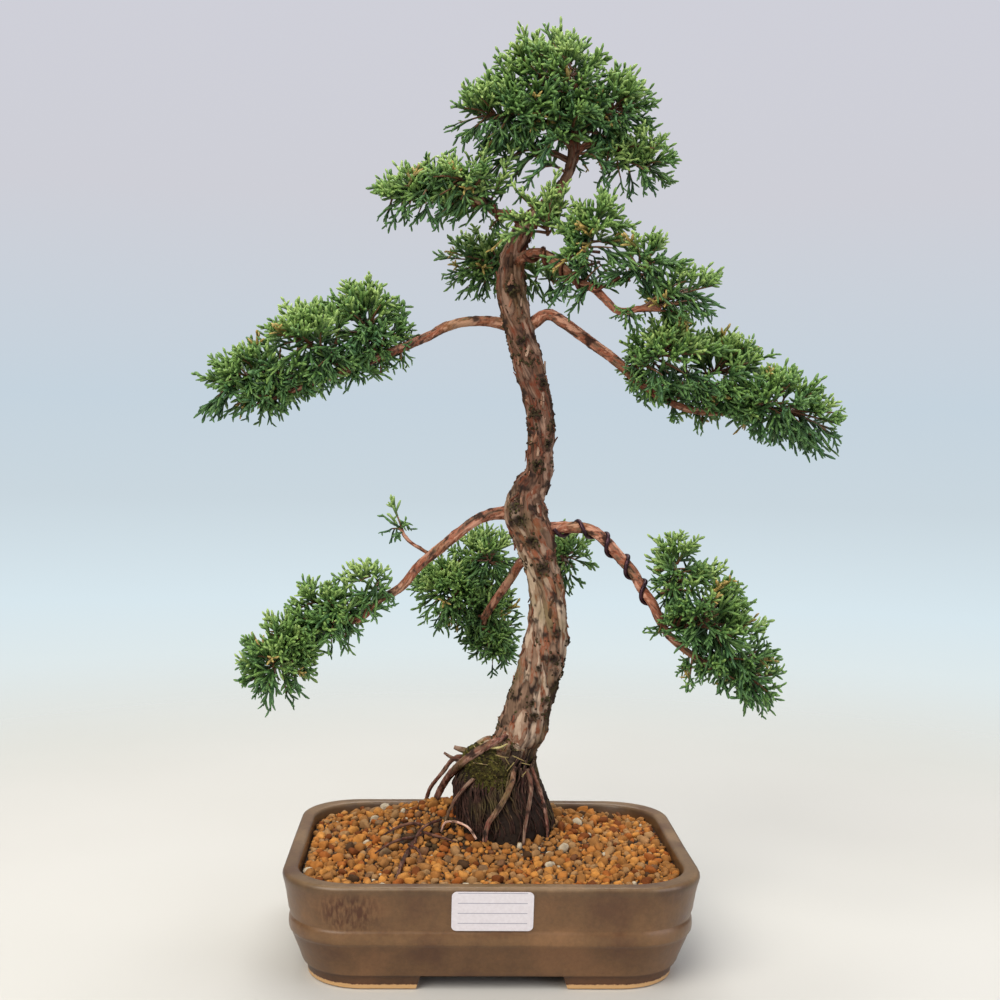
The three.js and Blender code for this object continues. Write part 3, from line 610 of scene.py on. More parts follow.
# The palette's cells that granules are drawn from: mostly ochre and orange, a few rust, cream or dark.
STONE_CELLS = ([0.02] * 5 + [0.1] * 6 + [0.18] * 6 + [0.26] * 8 + [0.34] * 8 + [0.42] * 4 + [0.5] * 3
               + [0.58] * 3 + [0.66] * 2 + [0.74] * 1 + [0.84] * 1)
STONE_COLOURS = [
    (0.0, "#bc7d3c"), (0.06, "#ad6c30"), (0.12, "#966634"), (0.2, "#c48743"), (0.27, "#9b6936"),
    (0.35, "#a37d52"), (0.43, "#9a5623"), (0.5, "#ce8d43"), (0.58, "#78421c"), (0.66, "#6a391b"),
    (0.7, "#8e7a5a"), (0.78, "#d8cab0"), (0.82, "#553c26"), (0.9, "#3c2918"), (1.0, "#6b5636")]
# Loose bark, from weathered flakes through fresh red ones to dark crumbs.
BARK_COLOURS = [
    (0.0, "#b79c86"), (0.12, "#a38872"), (0.25, "#c6ab96"), (0.36, "#8a6a55"), (0.46, "#9c5a40"),
    (0.56, "#7a4634"), (0.64, "#4f382a"), (0.72, "#463a26"), (0.86, "#2a2217"), (1.0, "#57522f")]
# Moss tufts, from wet and dark to dry, pale tips.
MOSS_COLOURS = [
    (0.0, "#1d180d"), (0.2, "#2c2612"), (0.4, "#393616"), (0.6, "#47451d"), (0.75, "#62592a"),
    (0.85, "#4a3a24"), (0.93, "#c9bb9a"), (1.0, "#ddd2b8")]


def humus_and_gap_shade():
    """Damp peat and clay dust between the granules: near black-brown and crumbly, and dark enough to be the
    painted shade in the gaps between the granules as well.
    """
    material, tree, shader = new_material("humus_and_gap_shade")
    place = add(tree, "ShaderNodeTexCoord")
    crumbs = add(tree, "ShaderNodeTexVoronoi", {
        "Vector": place.outputs["Object"], "Scale": 1 / (1.8 * MM)})
    # Painted shade: darker towards each crumb's edge, where the crumbs dip.
    tone = add(tree, "ShaderNodeValToRGB", {"Fac": crumbs.outputs["Distance"]},
               stops=[(0.1, "#3f2a18"), (0.6, "#1d130b")])
    bump = add(tree, "ShaderNodeBump", {"Height": crumbs.outputs["Distance"], "Distance": 1.0 * MM})
    bump.invert = True
    feed(tree, shader, {"Base Color": tone.outputs[0], "Normal": bump.outputs[0], "Roughness": 0.95})
    return material


def moss_finish():
    """Damp cushion moss: olive-brown with yellow-green tips, fully matt."""
    material, tree, shader = new_material("cushion_moss")
    place = add(tree, "ShaderNodeTexCoord")
    patch = add(tree, "ShaderNodeTexNoise", {
        "Vector": place.outputs["Object"], "Scale": 1 / (5 * MM), "Detail": 6.0, "Roughness": 0.7})
    tone = add(tree, "ShaderNodeValToRGB", {"Fac": patch.outputs["Fac"]}, stops=[
        (0.3, "#1c150d"), (0.45, "#332b16"), (0.58, "#4c471f"), (0.72, "#6b6a34")])
    tufts = add(tree, "ShaderNodeTexNoise", {
        "Vector": place.outputs["Object"], "Scale": 1 / (0.8 * MM), "Detail": 3.0})
    bump = add(tree, "ShaderNodeBump", {"Height": tufts.outputs["Fac"], "Distance": 0.8 * MM})
    feed(tree, shader, {"Base Color": tone.outputs[0], "Normal": bump.outputs[0], "Roughness": 0.97,
                        "Specular IOR Level": 0.15})
    return material


def pale_floor():
    """A matt cream studio floor that melts into the sky at its edge."""
    material, tree, shader = new_material("studio_floor")
    place = add(tree, "ShaderNodeTexCoord")
    far = add(tree, "ShaderNodeVectorMath", {0: place.outputs["Object"]}, operation="LENGTH")
    fade = add(tree, "ShaderNodeMapRange", {"Value": far.outputs["Value"], "From Min": 0.2,
                                            "From Max": 1.05, "To Min": 1.0, "To Max": 0.0},
               interpolation_type="SMOOTHSTEP")
    cloud = add(tree, "ShaderNodeTexNoise", {"Vector": place.outputs["Object"], "Scale": 3.0})
    tone = add(tree, "ShaderNodeValToRGB", {"Fac": cloud.outputs["Fac"]},
               stops=[(0.3, "#c9c7bf"), (0.7, "#ceccc5")])
    feed(tree, shader, {"Base Color": tone.outputs[0], "Alpha": fade.outputs[0], "Roughness": 0.8})
    return material


def soft_sky(scene):
    """The studio wall all round: cool grey-blue high up, cream at the floor."""
    world = bpy.data.worlds.new("studio")
    scene.world = world
    world.use_nodes = True
    tree = world.node_tree
    tree.nodes.clear()
    place = add(tree, "ShaderNodeTexCoord")
    height = add(tree, "ShaderNodeSeparateXYZ", {"Vector": place.outputs["Generated"]})
    level = add(tree, "ShaderNodeMapRange", {"Value": height.outputs[2], "From Min": -0.42,
                                             "From Max": 0.42})
    colour = add(tree, "ShaderNodeValToRGB", {"Fac": level.outputs[0]}, stops=[
        (0.0, "#f3ece0"), (0.15, "#f1ebe0"), (0.233, "#e9ece6"), (0.363, "#d8e7ee"), (0.452, "#cad7df"),
        (0.54, "#c5d3de"), (0.718, "#cecfd7"), (1.0, "#d0d0da")])
    # The wall is seen at its full brightness and gives the object a softer share of it.
    seen = add(tree, "ShaderNodeLightPath")
    strength = add(tree, "ShaderNodeMapRange", {"Value": seen.outputs["Is Camera Ray"], "To Min": 0.42,
                                                "To Max": 1.0})
    background = add(tree, "ShaderNodeBackground", {"Color": colour.outputs[0],
                                                    "Strength": strength.outputs[0]})
    add(tree, "ShaderNodeOutputWorld", {"Surface": background.outputs[0]})


# ---- stems -------------------------------------------------------
def stem(stations, sides, step_mm, cuts=0):
    """A tapered stem drawn as a bevelled curve through its stations and made a mesh.

    Each point keeps where the stem's core lies beside it ("core"), which way round it is ("round"),
    how far along the stem it is ("along") and the stem's radius there ("girth"), in millimetres."""
    clear_selection()
    bpy.ops.curve.primitive_bezier_curve_add()
    curve = bpy.context.object.data
    curve.splines.clear()
    spline = curve.splines.new("BEZIER")
    spline.bezier_points.add(len(stations) - 1)
    for point, (x, y, z, radius) in zip(spline.bezier_points, stations):
        point.co = at(x, y, z)
        point.radius = radius
        point.handle_left_type = point.handle_right_type = "AUTO"
    spans = [math.dist(a[:3], b[:3]) for a, b in zip(stations, stations[1:])]
    spline.resolution_u = max(2, round(sum(spans) / len(spans) / step_mm))
    curve.dimensions = "3D"
    curve.twist_mode = "MINIMUM"
    curve.bevel_depth = MM
    curve.bevel_resolution = sides // 2 - 2
    curve.use_fill_caps = True
    bpy.ops.object.convert(target="MESH")
    piece = bpy.context.object
    piece.location = (0, 0, 0)
    mesh = piece.data
    points = points_of(mesh)
    # The mesh starts with the rings of its two end caps: the far one, then the near one.
    body = points.reshape(-1, sides, 3)[2:]
    middle = body.mean(1)
    girth = np.linalg.norm(body - middle[:, None], axis=2).mean(1) / MM
    along = np.concatenate([[0], np.cumsum(np.linalg.norm(np.diff(middle, axis=0), axis=1))]) / MM
    angle = 2 * np.pi * np.arange(sides) / sides
    way = np.stack([np.cos(angle), np.sin(angle), 0 * angle], 1)

    def spread(values):
        return np.repeat(np.concatenate([values[-1:], values[:1], values]), sides, axis=0)

    set_attribute(mesh, "core", spread(middle), "FLOAT_VECTOR")
    set_attribute(mesh, "round", np.tile(way, (len(body) + 2, 1)), "FLOAT_VECTOR")
    set_attribute(mesh, "along", spread(along))
    set_attribute(mesh, "girth", spread(girth))
    edit_all()
    bpy.ops.mesh.remove_doubles(threshold=1e-6)
    bpy.ops.mesh.select_all(action="SELECT")
    if cuts:
        bpy.ops.mesh.subdivide(number_cuts=cuts)
    face_outwards()
    return piece


def peel(piece, relief, plate, swirl=0.0, knots=()):
    """Raises the stem's skin into long flat plates with cracks between them, and keeps what the
    bark material reads: the cracks, a tone for each plate and the way the grain runs."""
    mesh = piece.data
    points = points_of(mesh)
    core, way = read_attribute(mesh, "core", 3), read_attribute(mesh, "round", 3)
    along, girth = read_attribute(mesh, "along"), read_attribute(mesh, "girth")
    out = points - core
    out /= np.maximum(np.linalg.norm(out, axis=1, keepdims=True), 1e-9)
    turned = np.arctan2(way[:, 1], way[:, 0]) + swirl * along
    flat = np.stack([np.cos(turned) * girth, np.sin(turned) * girth, along], 1)
    lift, crack, tone, crumb = (np.zeros(len(flat)) for _ in range(4))
    wide, tall = plate
    for i, (x, y, z) in enumerate(flat):
        spot = Vector((x / wide, y / wide, z / tall))
        spot += noise.noise_vector(spot * 0.9) * 0.5 + noise.noise_vector(spot * 3.1) * 0.16
        far, seeds = noise.voronoi(spot)
        gap = far[1] - far[0]
        own = noise.noise(seeds[0] * 9.7) * 0.9 + 0.5
        small, small_seeds = noise.voronoi(spot * 2.3 + Vector((5, 3, 1)))
        chip = noise.noise(small_seeds[0] * 7.3) + 0.5
        edge, notch = min(gap / 0.3, 1.0), min((small[1] - small[0]) / 0.25, 1.0)
        fine = noise.fractal(Vector((x / 1.5, y / 1.5, z / 6)), 0.8, 2.0, 3)
        lift[i] = edge * (0.35 + 0.6 * own) + notch * chip * 0.45 + 0.35 * fine - 0.65
        crack[i] = (1 - min(gap / 0.1, 1.0)) * 0.75
        tone[i] = 0.62 * own + 0.38 * chip
        crumb[i] = noise.fractal(Vector((x, y, z)) / 5.5 + Vector((9, 2, 4)), 0.9, 2.1, 5)
    dirt = smoothstep(0.32, 0.55, crumb)
    lift = (lift + dirt * 0.55) * relief
    crack = np.maximum(crack, dirt * 0.9)
    for x, y, z, size in knots:
        away = np.linalg.norm(points - np.array(at(x, y, z)), axis=1) / (size * MM)
        lift += 1.3 * np.exp(-(away - 0.8) ** 2 * 5) - 0.9 * np.exp(-away ** 2 * 6)
        crack = np.maximum(crack, np.clip(1.5 * np.exp(-away ** 2 * 1.1), 0, 0.95))
    ends = smoothstep(0, 2, np.minimum(along, along.max() - along))
    set_points(mesh, points + out * (lift * ends * MM)[:, None])
    set_attribute(mesh, "crack", crack)
    set_attribute(mesh, "plate", tone)
    set_attribute(mesh, "grain", np.stack([flat[:, 0], flat[:, 1], along * 0.2], 1) * MM, "FLOAT_VECTOR")
    return piece


def root_mass(z):
    """The middle and radius of the trunk's foot at a height, from the trunk's own route."""
    foot = np.array(TRUNK[:9], float)
    return [float(np.interp(z, foot[:, 2], foot[:, i])) for i in (0, 1, 3)]


def plan_root_fibres(count, rng):
    """Routes of the thin roots that run down over the foot of the trunk and into the soil."""
    strands = []
    for _ in range(count):
        turn = rng.uniform(0, 2 * math.pi)
        z = rng.uniform(80, 104)
        wander = rng.gauss(0, 0.02)
        thick = rng.choice((0.35, 0.45, 0.6, 0.9))
        stations = []
        while z > 55:
            x, y, radius = root_mass(z)
            turn += wander + rng.gauss(0, 0.05)
            reach = radius + rng.uniform(-0.5, 1.3)
            stations.append([x + math.cos(turn) * reach, y + math.sin(turn) * reach, z, thick])
            z -= rng.uniform(4, 6.5)
            thick *= 0.95
        if len(stations) > 3:
            strands.append(stations)
    return strands


def model_strands(strands, sides, relief):
    """Thin roots or stalks, each a stem of its own, as one piece."""
    made = []
    for stations in strands:
        made.append(peel(stem(stations, sides, 1.6), relief, (1.2, 5)))
    return join(made)


# ---- the pot -----------------------------------------------------
# The pot's skin in section, as [inset from the rim's outline, height], from the middle of its
# underside down round the foot ring, up the outside, over the lip and down to the inside floor.
POT_SKIN = [
    [24.5, 7], [24.5, 0.5], [24, 0], [13.3, 0], [12.7, 0.5], [12.1, 5], [11.8, 6.6],
    [11.4, 7.1], [10.1, 7.5], [9.6, 8.6], [7.8, 14],
    [6.3, 18], [4.9, 22], [4.5, 23.4], [4.1, 24.2], [3.6, 24.8], [3.3, 25.6], [3.1, 27.5], [3.2, 30.2],
    [3.5, 31.2], [3.9, 31.9], [3.9, 32.4], [2.8, 36], [1.7, 44], [0.8, 48.5], [0.2, 50.8], [0, 52],
    [0.1, 53], [0.5, 53.9], [1.2, 54.4], [2, 54.5], [6, 54.5], [6.8, 54.3], [7.4, 53.7], [7.7, 52.8],
    [8.2, 50], [9.6, 40], [11.5, 26], [14.2, 17], [18, 14],
]
RIM_CORNER = 33
FOOT_HEIGHT = 7
FOOT_GAPS = ((38, 120), (130, 28))
FOOT_SLANT = 3
GAP_SHORTFALL = 0.05
DRAIN_DIAMETER = 22
DRAIN_OFFSET = 48


def cut(piece, cutter):
    """Takes one solid away from another."""
    modify(piece, "BOOLEAN", object=cutter, operation="DIFFERENCE", solver="EXACT")
    bpy.data.objects.remove(cutter)


def model_pot(waviness):
    """Drawn up ring by ring from one rounded outline, as a clay slab would be pressed in a mould."""
    clear_selection()
    bpy.ops.mesh.primitive_plane_add(size=2)
    piece = bpy.context.object
    piece.scale = (POT_HALF_LENGTH * MM, POT_HALF_DEPTH * MM, 1)
    apply_place(piece)
    edit_all("VERT")
    bpy.ops.mesh.bevel(offset=RIM_CORNER * MM, offset_type="OFFSET", segments=14, affect="VERTICES")
    bpy.ops.mesh.select_mode(type="EDGE")
    bpy.ops.mesh.select_all(action="DESELECT")
    bpy.ops.object.mode_set(mode="OBJECT")
    for edge in piece.data.edges:
        ends = [piece.data.vertices[v].co for v in edge.vertices]
        edge.select = (ends[0] - ends[1]).length > 40 * MM
    bpy.ops.object.mode_set(mode="EDIT")
    bpy.ops.mesh.subdivide(number_cuts=9)
    bpy.ops.mesh.select_all(action="SELECT")
    inset, height = POT_SKIN[0]
    wide, deep = POT_HALF_LENGTH - inset, POT_HALF_DEPTH - inset
    bpy.ops.transform.resize(value=(wide / POT_HALF_LENGTH, deep / POT_HALF_DEPTH, 1))
    bpy.ops.transform.translate(value=(0, 0, height * MM))
    bpy.ops.mesh.select_mode(type="FACE")
    for inset, level in POT_SKIN[1:]:
        bpy.ops.mesh.extrude_region_move(TRANSFORM_OT_translate={"value": (0, 0, (level - height) * MM)})
        now_wide, now_deep = POT_HALF_LENGTH - inset, POT_HALF_DEPTH - inset
        bpy.ops.transform.resize(value=(now_wide / wide, now_deep / deep, 1))
        wide, deep, height = now_wide, now_deep, level
    face_outwards()
    for half_x, half_y in FOOT_GAPS:
        clear_selection()
        bpy.ops.mesh.primitive_cube_add(size=2)
        gap = bpy.context.object
        half_height = (FOOT_HEIGHT - GAP_SHORTFALL) / 2 * MM
        gap.scale = (half_x * MM, half_y * MM, half_height + MM)
        gap.location = (0, 0, half_height - MM)
        apply_place(gap)
        slant_x, slant_y = (FOOT_SLANT * MM, 0) if half_x < half_y else (0, FOOT_SLANT * MM)
        for vertex in gap.data.vertices:
            if vertex.co.z > 0:
                vertex.co.x -= math.copysign(slant_x, vertex.co.x)
                vertex.co.y -= math.copysign(slant_y, vertex.co.y)
        cut(piece, gap)
    for side in (-1, 1):
        clear_selection()
        bpy.ops.mesh.primitive_cylinder_add(vertices=40, radius=DRAIN_DIAMETER / 2 * MM, depth=20 * MM,
                                            location=(side * DRAIN_OFFSET * MM, 0, 10 * MM))
        hole = bpy.context.object
        apply_place(hole)
        cut(piece, hole)
    points = points_of(piece.data)
    for i, (x, y, z) in enumerate(points):
        sway = noise.noise_vector(Vector((x, y, z)) / (45 * MM)) * waviness
        ease = min(1.0, z / (12 * MM))
        points[i] += np.array(sway) * ease
    set_points(piece.data, points + np.array(POT_MIDDLE))
    return piece


# ---- stones, shoots and other shapes that are repeated -----------
def turn_round(points):
    """How far round its own upright axis each point lies, from 0 to 1."""
    return (np.arctan2(points[:, 1], points[:, 0]) / (2 * np.pi)) % 1


def note_length(piece, length):
    """Writes the template's "along" and "turn", which Heap turns into its palette map."""
    points = points_of(piece.data)
    along = np.clip(points[:, 2] / length, 0.02, 0.98)
    set_attribute(piece.data, "along", along)
    set_attribute(piece.data, "turn", turn_round(points))


def model_cord(rings):
    """One cord of scale leaves, extruded up from a small square.

    Each ring is (height, radius, lean), in millimetres; the lean bends the cord to one side."""
    clear_selection()
    height, radius, lean = rings[0]
    bpy.ops.mesh.primitive_circle_add(vertices=4, radius=radius * MM, fill_type="NGON",
                                      location=(lean * MM, 0, height * MM))
    piece = bpy.context.object
    edit_all("FACE")
    for level, size, side in rings[1:]:
        step = ((side - lean) * MM, 0, (level - height) * MM)
        bpy.ops.mesh.extrude_region_move(TRANSFORM_OT_translate={"value": step})
        bpy.ops.transform.resize(value=(size / radius, size / radius, 1))
        height, radius, lean = level, size, side
    bpy.ops.mesh.select_all(action="DESELECT")
    bpy.ops.object.mode_set(mode="OBJECT")
    foot = min(piece.data.polygons, key=lambda p: p.center.z)
    foot.select = True
    bpy.ops.object.mode_set(mode="EDIT")
    bpy.ops.mesh.delete(type="ONLY_FACE")
    face_outwards()
    apply_place(piece)
    note_length(piece, rings[-1][0] * MM)
    return piece


def model_shoot(main, side, count, spread, first, rng):
    """A shoot: a main cord with side cords that leave it in a rising spiral.

    spread is the side cords' angle from the main one and first the height of the lowest."""
    cords = [model_cord(main)]
    length = main[-1][0]
    for k in range(count):
        t = k / max(1, count - 1)
        cord = model_cord(side)
        size = 1.1 - 0.45 * t + rng.uniform(-0.12, 0.12)
        turn = k * 2.4 + rng.uniform(-0.4, 0.4)
        lean = math.radians(spread * (1.1 - 0.3 * t) + rng.uniform(-8, 8))
        cord.scale = (1, 1, size)
        cord.rotation_euler = Euler((lean, 0, turn), "XYZ")
        height = first + (length * 0.88 - first) * t
        lean = float(np.interp(height, [ring[0] for ring in main], [ring[2] for ring in main]))
        cord.location = (lean * MM, 0, height * MM)
        apply_place(cord)
        cords.append(cord)
    return join(cords)


def model_stone(cuts, rng):
    """A clay granule: a cube subdivided, rounded, squashed, then worn flat on a few sides."""
    clear_selection()
    bpy.ops.mesh.primitive_cube_add(size=2)
    piece = bpy.context.object
    edit_all()
    bpy.ops.mesh.subdivide(number_cuts=cuts)
    bpy.ops.object.mode_set(mode="OBJECT")
    points = points_of(piece.data)
    round_points = points / np.linalg.norm(points, axis=1, keepdims=True)
    points = points * 0.22 + round_points * 0.82
    points *= [rng.uniform(0.95, 1.25), rng.uniform(0.8, 1.05), rng.uniform(0.65, 0.9)]
    for _ in range(7):
        normal = Vector((rng.gauss(0, 1), rng.gauss(0, 1), rng.gauss(0, 1))).normalized()
        over = points @ np.array(normal) - rng.uniform(0.5, 0.75)
        points -= np.maximum(over, 0)[:, None] * 0.85 * np.array(normal)
    seed = Vector((rng.random(), rng.random(), rng.random())) * 40
    tone = np.array([noise.noise(Vector(p) * 1.3 + seed) for p in points])
    points *= (1 + 0.1 * tone)[:, None]
    set_points(piece.data, points)
    set_attribute(piece.data, "along", np.clip(0.5 + tone * 0.6, 0.05, 0.95))
    set_attribute(piece.data, "turn", turn_round(points))
    return piece


def model_flake():
    """A lifted flake of bark: a small strip, curled up at its free end and thickened."""
    clear_selection()
    bpy.ops.mesh.primitive_grid_add(x_subdivisions=2, y_subdivisions=3, size=1)
    piece = bpy.context.object
    points = points_of(piece.data)
    free = points[:, 1] + 0.5
    points[:, 0] *= 0.42 * (1 - 0.35 * free ** 2)
    points[:, 2] = 0.2 * free ** 2 - 0.25 * points[:, 0] ** 2
    set_points(piece.data, points)
    modify(piece, "SOLIDIFY", thickness=0.06)
    points = points_of(piece.data)
    set_attribute(piece.data, "along", np.clip(points[:, 1] + 0.5, 0.05, 0.95))
    set_attribute(piece.data, "turn", np.clip(points[:, 0] + 0.5, 0, 1) * 0.8)
    return piece


def spots_on(piece, count, low, high, rng, weight=None):
    """Random places on a piece between two heights, each with the way out of its surface."""
    points = points_of(piece.data)
    normals = normals_of(piece.data)
    height = (points[:, 2] - POT_MIDDLE.z) / MM
    chance = ((height > low) & (height < high)).astype(float)
    if weight is not None:
        chance *= weight(points, height)
    chooser = np.random.default_rng(rng.randrange(10 ** 6))
    picked = chooser.choice(len(points), count, p=chance / chance.sum())
    return points[picked], normals[picked]


def frames(directions, sizes, rolls, feet):
    """A 3x4 matrix for each copy: its own z along its direction, turned by roll and scaled."""
    z = np.asarray(directions, float)
    z = z / np.linalg.norm(z, axis=1, keepdims=True)
    helper = np.where(np.abs(z[:, 2:3]) < 0.9, [[0.0, 0.0, 1.0]], [[1.0, 0.0, 0.0]])
    x = np.cross(helper, z)
    x /= np.linalg.norm(x, axis=1, keepdims=True)
    y = np.cross(z, x)
    c, s = np.cos(rolls)[:, None], np.sin(rolls)[:, None]
    x, y = x * c + y * s, y * c - x * s
    sizes = np.asarray(sizes, float)
    sizes = sizes[:, None, None] if sizes.ndim == 1 else sizes[:, None, :]
    turned = np.stack([x, y, z], 2) * sizes
    return np.concatenate([turned, np.asarray(feet, float)[:, :, None]], 2)


# ---- foliage -----------------------------------------------------
def dense(stations, step=1.5):
    """Points along a limb, every step millimetres, as (point in metres, distance along)."""
    found = []
    for a, b in zip(stations, stations[1:]):
        a, b = at(*a[:3]), at(*b[:3])
        count = max(1, round((b - a).length / (step * MM)))
        found += [a.lerp(b, k / count) for k in range(count)]
    found.append(at(*stations[-1][:3]))
    return found


def limb_of(entry):
    if entry == "trunk":
        return TRUNK[-6:]
    return BRANCHES[entry] if isinstance(entry, str) else entry


def inside_depth(tree, point):
    """How far a point lies under the pad's surface (negative outside it), and the way out."""
    near, normal, _, distance = tree.find_nearest(point)
    deep = (near - point).dot(normal)
    return (distance if deep > 0 else -distance), normal


def twig_tube(points, radii):
    """Rings for a four-sided twig, as arrays for a Heap of one."""
    points = np.array(points)
    count = len(points)
    tangents = np.gradient(points, axis=0)
    tangents /= np.linalg.norm(tangents, axis=1, keepdims=True)
    side = np.cross(tangents, [0.3, 0.2, 0.93])
    side /= np.linalg.norm(side, axis=1, keepdims=True)
    top = np.cross(tangents, side)
    angle = np.arange(4) * np.pi / 2
    ring = (np.cos(angle)[None, :, None] * side[:, None] + np.sin(angle)[None, :, None] * top[:, None])
    body = (points[:, None] + ring * (np.asarray(radii)[:, None, None] * MM)).reshape(-1, 3)
    quads, uv = [], []
    for i in range(count - 1):
        for j in range(4):
            k = (j + 1) % 4
            quads.append([4 * i + j, 4 * i + 4 + j, 4 * i + 4 + k, 4 * i + k])
            low, high = 0.05 + 0.9 * i / (count - 1), 0.05 + 0.9 * (i + 1) / (count - 1)
            left, right = j * 0.002, j * 0.002 + 0.002
            uv.append([[left, low], [left, high], [right, high], [right, low]])
    quads.append([4 * count - 1, 4 * count - 2, 4 * count - 3, 4 * count - 4][::-1])
    uv.append([[0, 0.96], [0.002, 0.96], [0.002, 0.98], [0, 0.98]])
    return body, np.array(quads), np.array(uv)


# Sprays that hang or stand clear of a pad: where each starts, a point on the way, and its end.
SPRAYS = {
    "foliage_apex": [
        [[35, 1, 411], [24, -6, 414], [14, -10, 405]], [[36, 1, 417], [19, -4, 420], [6, -4, 408]],
        [[36, 1, 419], [15, 2, 424], [-5, 4, 413]], [[36, 0, 423], [29, -14, 426], [22, -24, 419]],
        [[37, 0, 431], [37, -16, 437], [43, -26, 437]], [[36, 1, 419], [46, -6, 421], [52, -10, 412]]],
    "foliage_left_high": [
        [[-8, -6, 392], [-3, -8, 400], [2, -10, 412]], [[-8, -6, 392], [-12, -10, 402], [-10, -12, 414]]],
    "foliage_front_high": [
        [[24, -10, 377], [20, -16, 385], [9, -20, 395]], [[24, -10, 377], [24, -18, 386], [25, -22, 399]],
        [[24, -10, 377], [28, -14, 384], [31, -18, 395]], [[23, -12, 378], [13, -20, 377], [3, -22, 374]],
        [[23, -12, 380], [14, -20, 382], [6, -24, 383]]],
    "foliage_right_high": [
        [[51, -16, 368], [40, -22, 367], [31, -26, 363]], [[51, -16, 363], [40, -22, 358], [32, -24, 351]],
        [[55, -14, 359], [47, -20, 352], [42, -20, 346]], [[46, -16, 374], [37, -20, 377], [31, -20, 380]]],
}
# How far apart a pad's twigs stand, against the spacing in the settings.
OPENNESS = {"foliage_front_high": 1.6, "foliage_left_low": 0.94, "foliage_back_low": 0.86,
            "foliage_back_low_right": 0.9, "foliage_right_low": 0.93, "foliage_right_high": 0.93,
            "foliage_back_high": 0.95, "foliage_left_high": 0.93}
FORKED, TUFTED, NEEDLE = range(3)
SHOOT_LENGTHS = (15.6, 11.8, 19.6)
DEEPEST_TIP = 14
TWIG_TIP_RADIUS = 0.36
# Where a shoot's colour lies in the leaf's map: from shaded to sunlit, and the dried ones.
DARKEST_LEAF, LIGHTEST_LEAF, DRY_LEAF = 0.03, 0.71, 0.755
# Extra painted light added to the map's u for every shoot of these pads.
PAINTED_LIGHT_PADS = {"foliage_front_high": 0.2}


def bow(start, middle, end, t):
    """A point on the bow from start to end that middle draws to one side."""
    return start * (1 - t) ** 2 + middle * 2 * t * (1 - t) + end * t * t


def choose_tips(node, tree, spacing, rng):
    """Scatters the ends of a pad's twigs under its surface, no two of them closer than spacing."""
    low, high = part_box(node)
    shallowest = min(4 * MM, 0.13 * min(high - low))
    tries = int(((high.x - low.x) * (high.y - low.y) * (high.z - low.z)) / MM ** 3 / 9)
    tips = []
    for _ in range(tries):
        spot = Vector((rng.uniform(low.x, high.x), rng.uniform(low.y, high.y), rng.uniform(low.z, high.z)))
        if not shallowest < inside_depth(tree, spot)[0] < DEEPEST_TIP * MM:
            continue
        if all((spot - other).length >= spacing for other in tips):
            tips.append(spot)
    return tips


def plan_twigs(node, tips, rng):
    """Each twig as its start on the nearest limb, the point that bows it, its tip and whether it
    stands clear of the pad."""
    limbs = [dense(limb_of(entry)) for entry in PADS[node]]
    twigs = []
    for tip in tips:
        limb = min(limbs, key=lambda points: min((p - tip).length for p in points))
        near = min(range(len(limb)), key=lambda k: (limb[k] - tip).length)
        reach = (limb[near] - tip).length
        start = limb[max(0, near - round(reach / MM * 0.3))]
        sag = Vector((rng.gauss(0, 1), rng.gauss(0, 1), rng.gauss(0, 0.6))) * reach * 0.07
        middle = start.lerp(tip, 0.5) + UP * reach * rng.uniform(0.0, 0.16) + sag
        twigs.append((start, middle, tip, False))
    for spray in SPRAYS.get(node, ()):
        start, middle, tip = (at(*place) for place in spray)
        twigs.append((start, middle * 2 - (start + tip) / 2, tip, True))
    return twigs


def twig_route(start, middle, end):
    """A twig's stations and their radii, thinner towards its tip."""
    reach = (end - start).length
    steps = 3 if reach < 9 * MM else 5
    thick = 0.5 + min(0.6, reach / MM * 0.016)
    radii = [thick + (TWIG_TIP_RADIUS - thick) * k / steps for k in range(steps + 1)]
    return [bow(start, middle, end, k / steps) for k in range(steps + 1)], radii


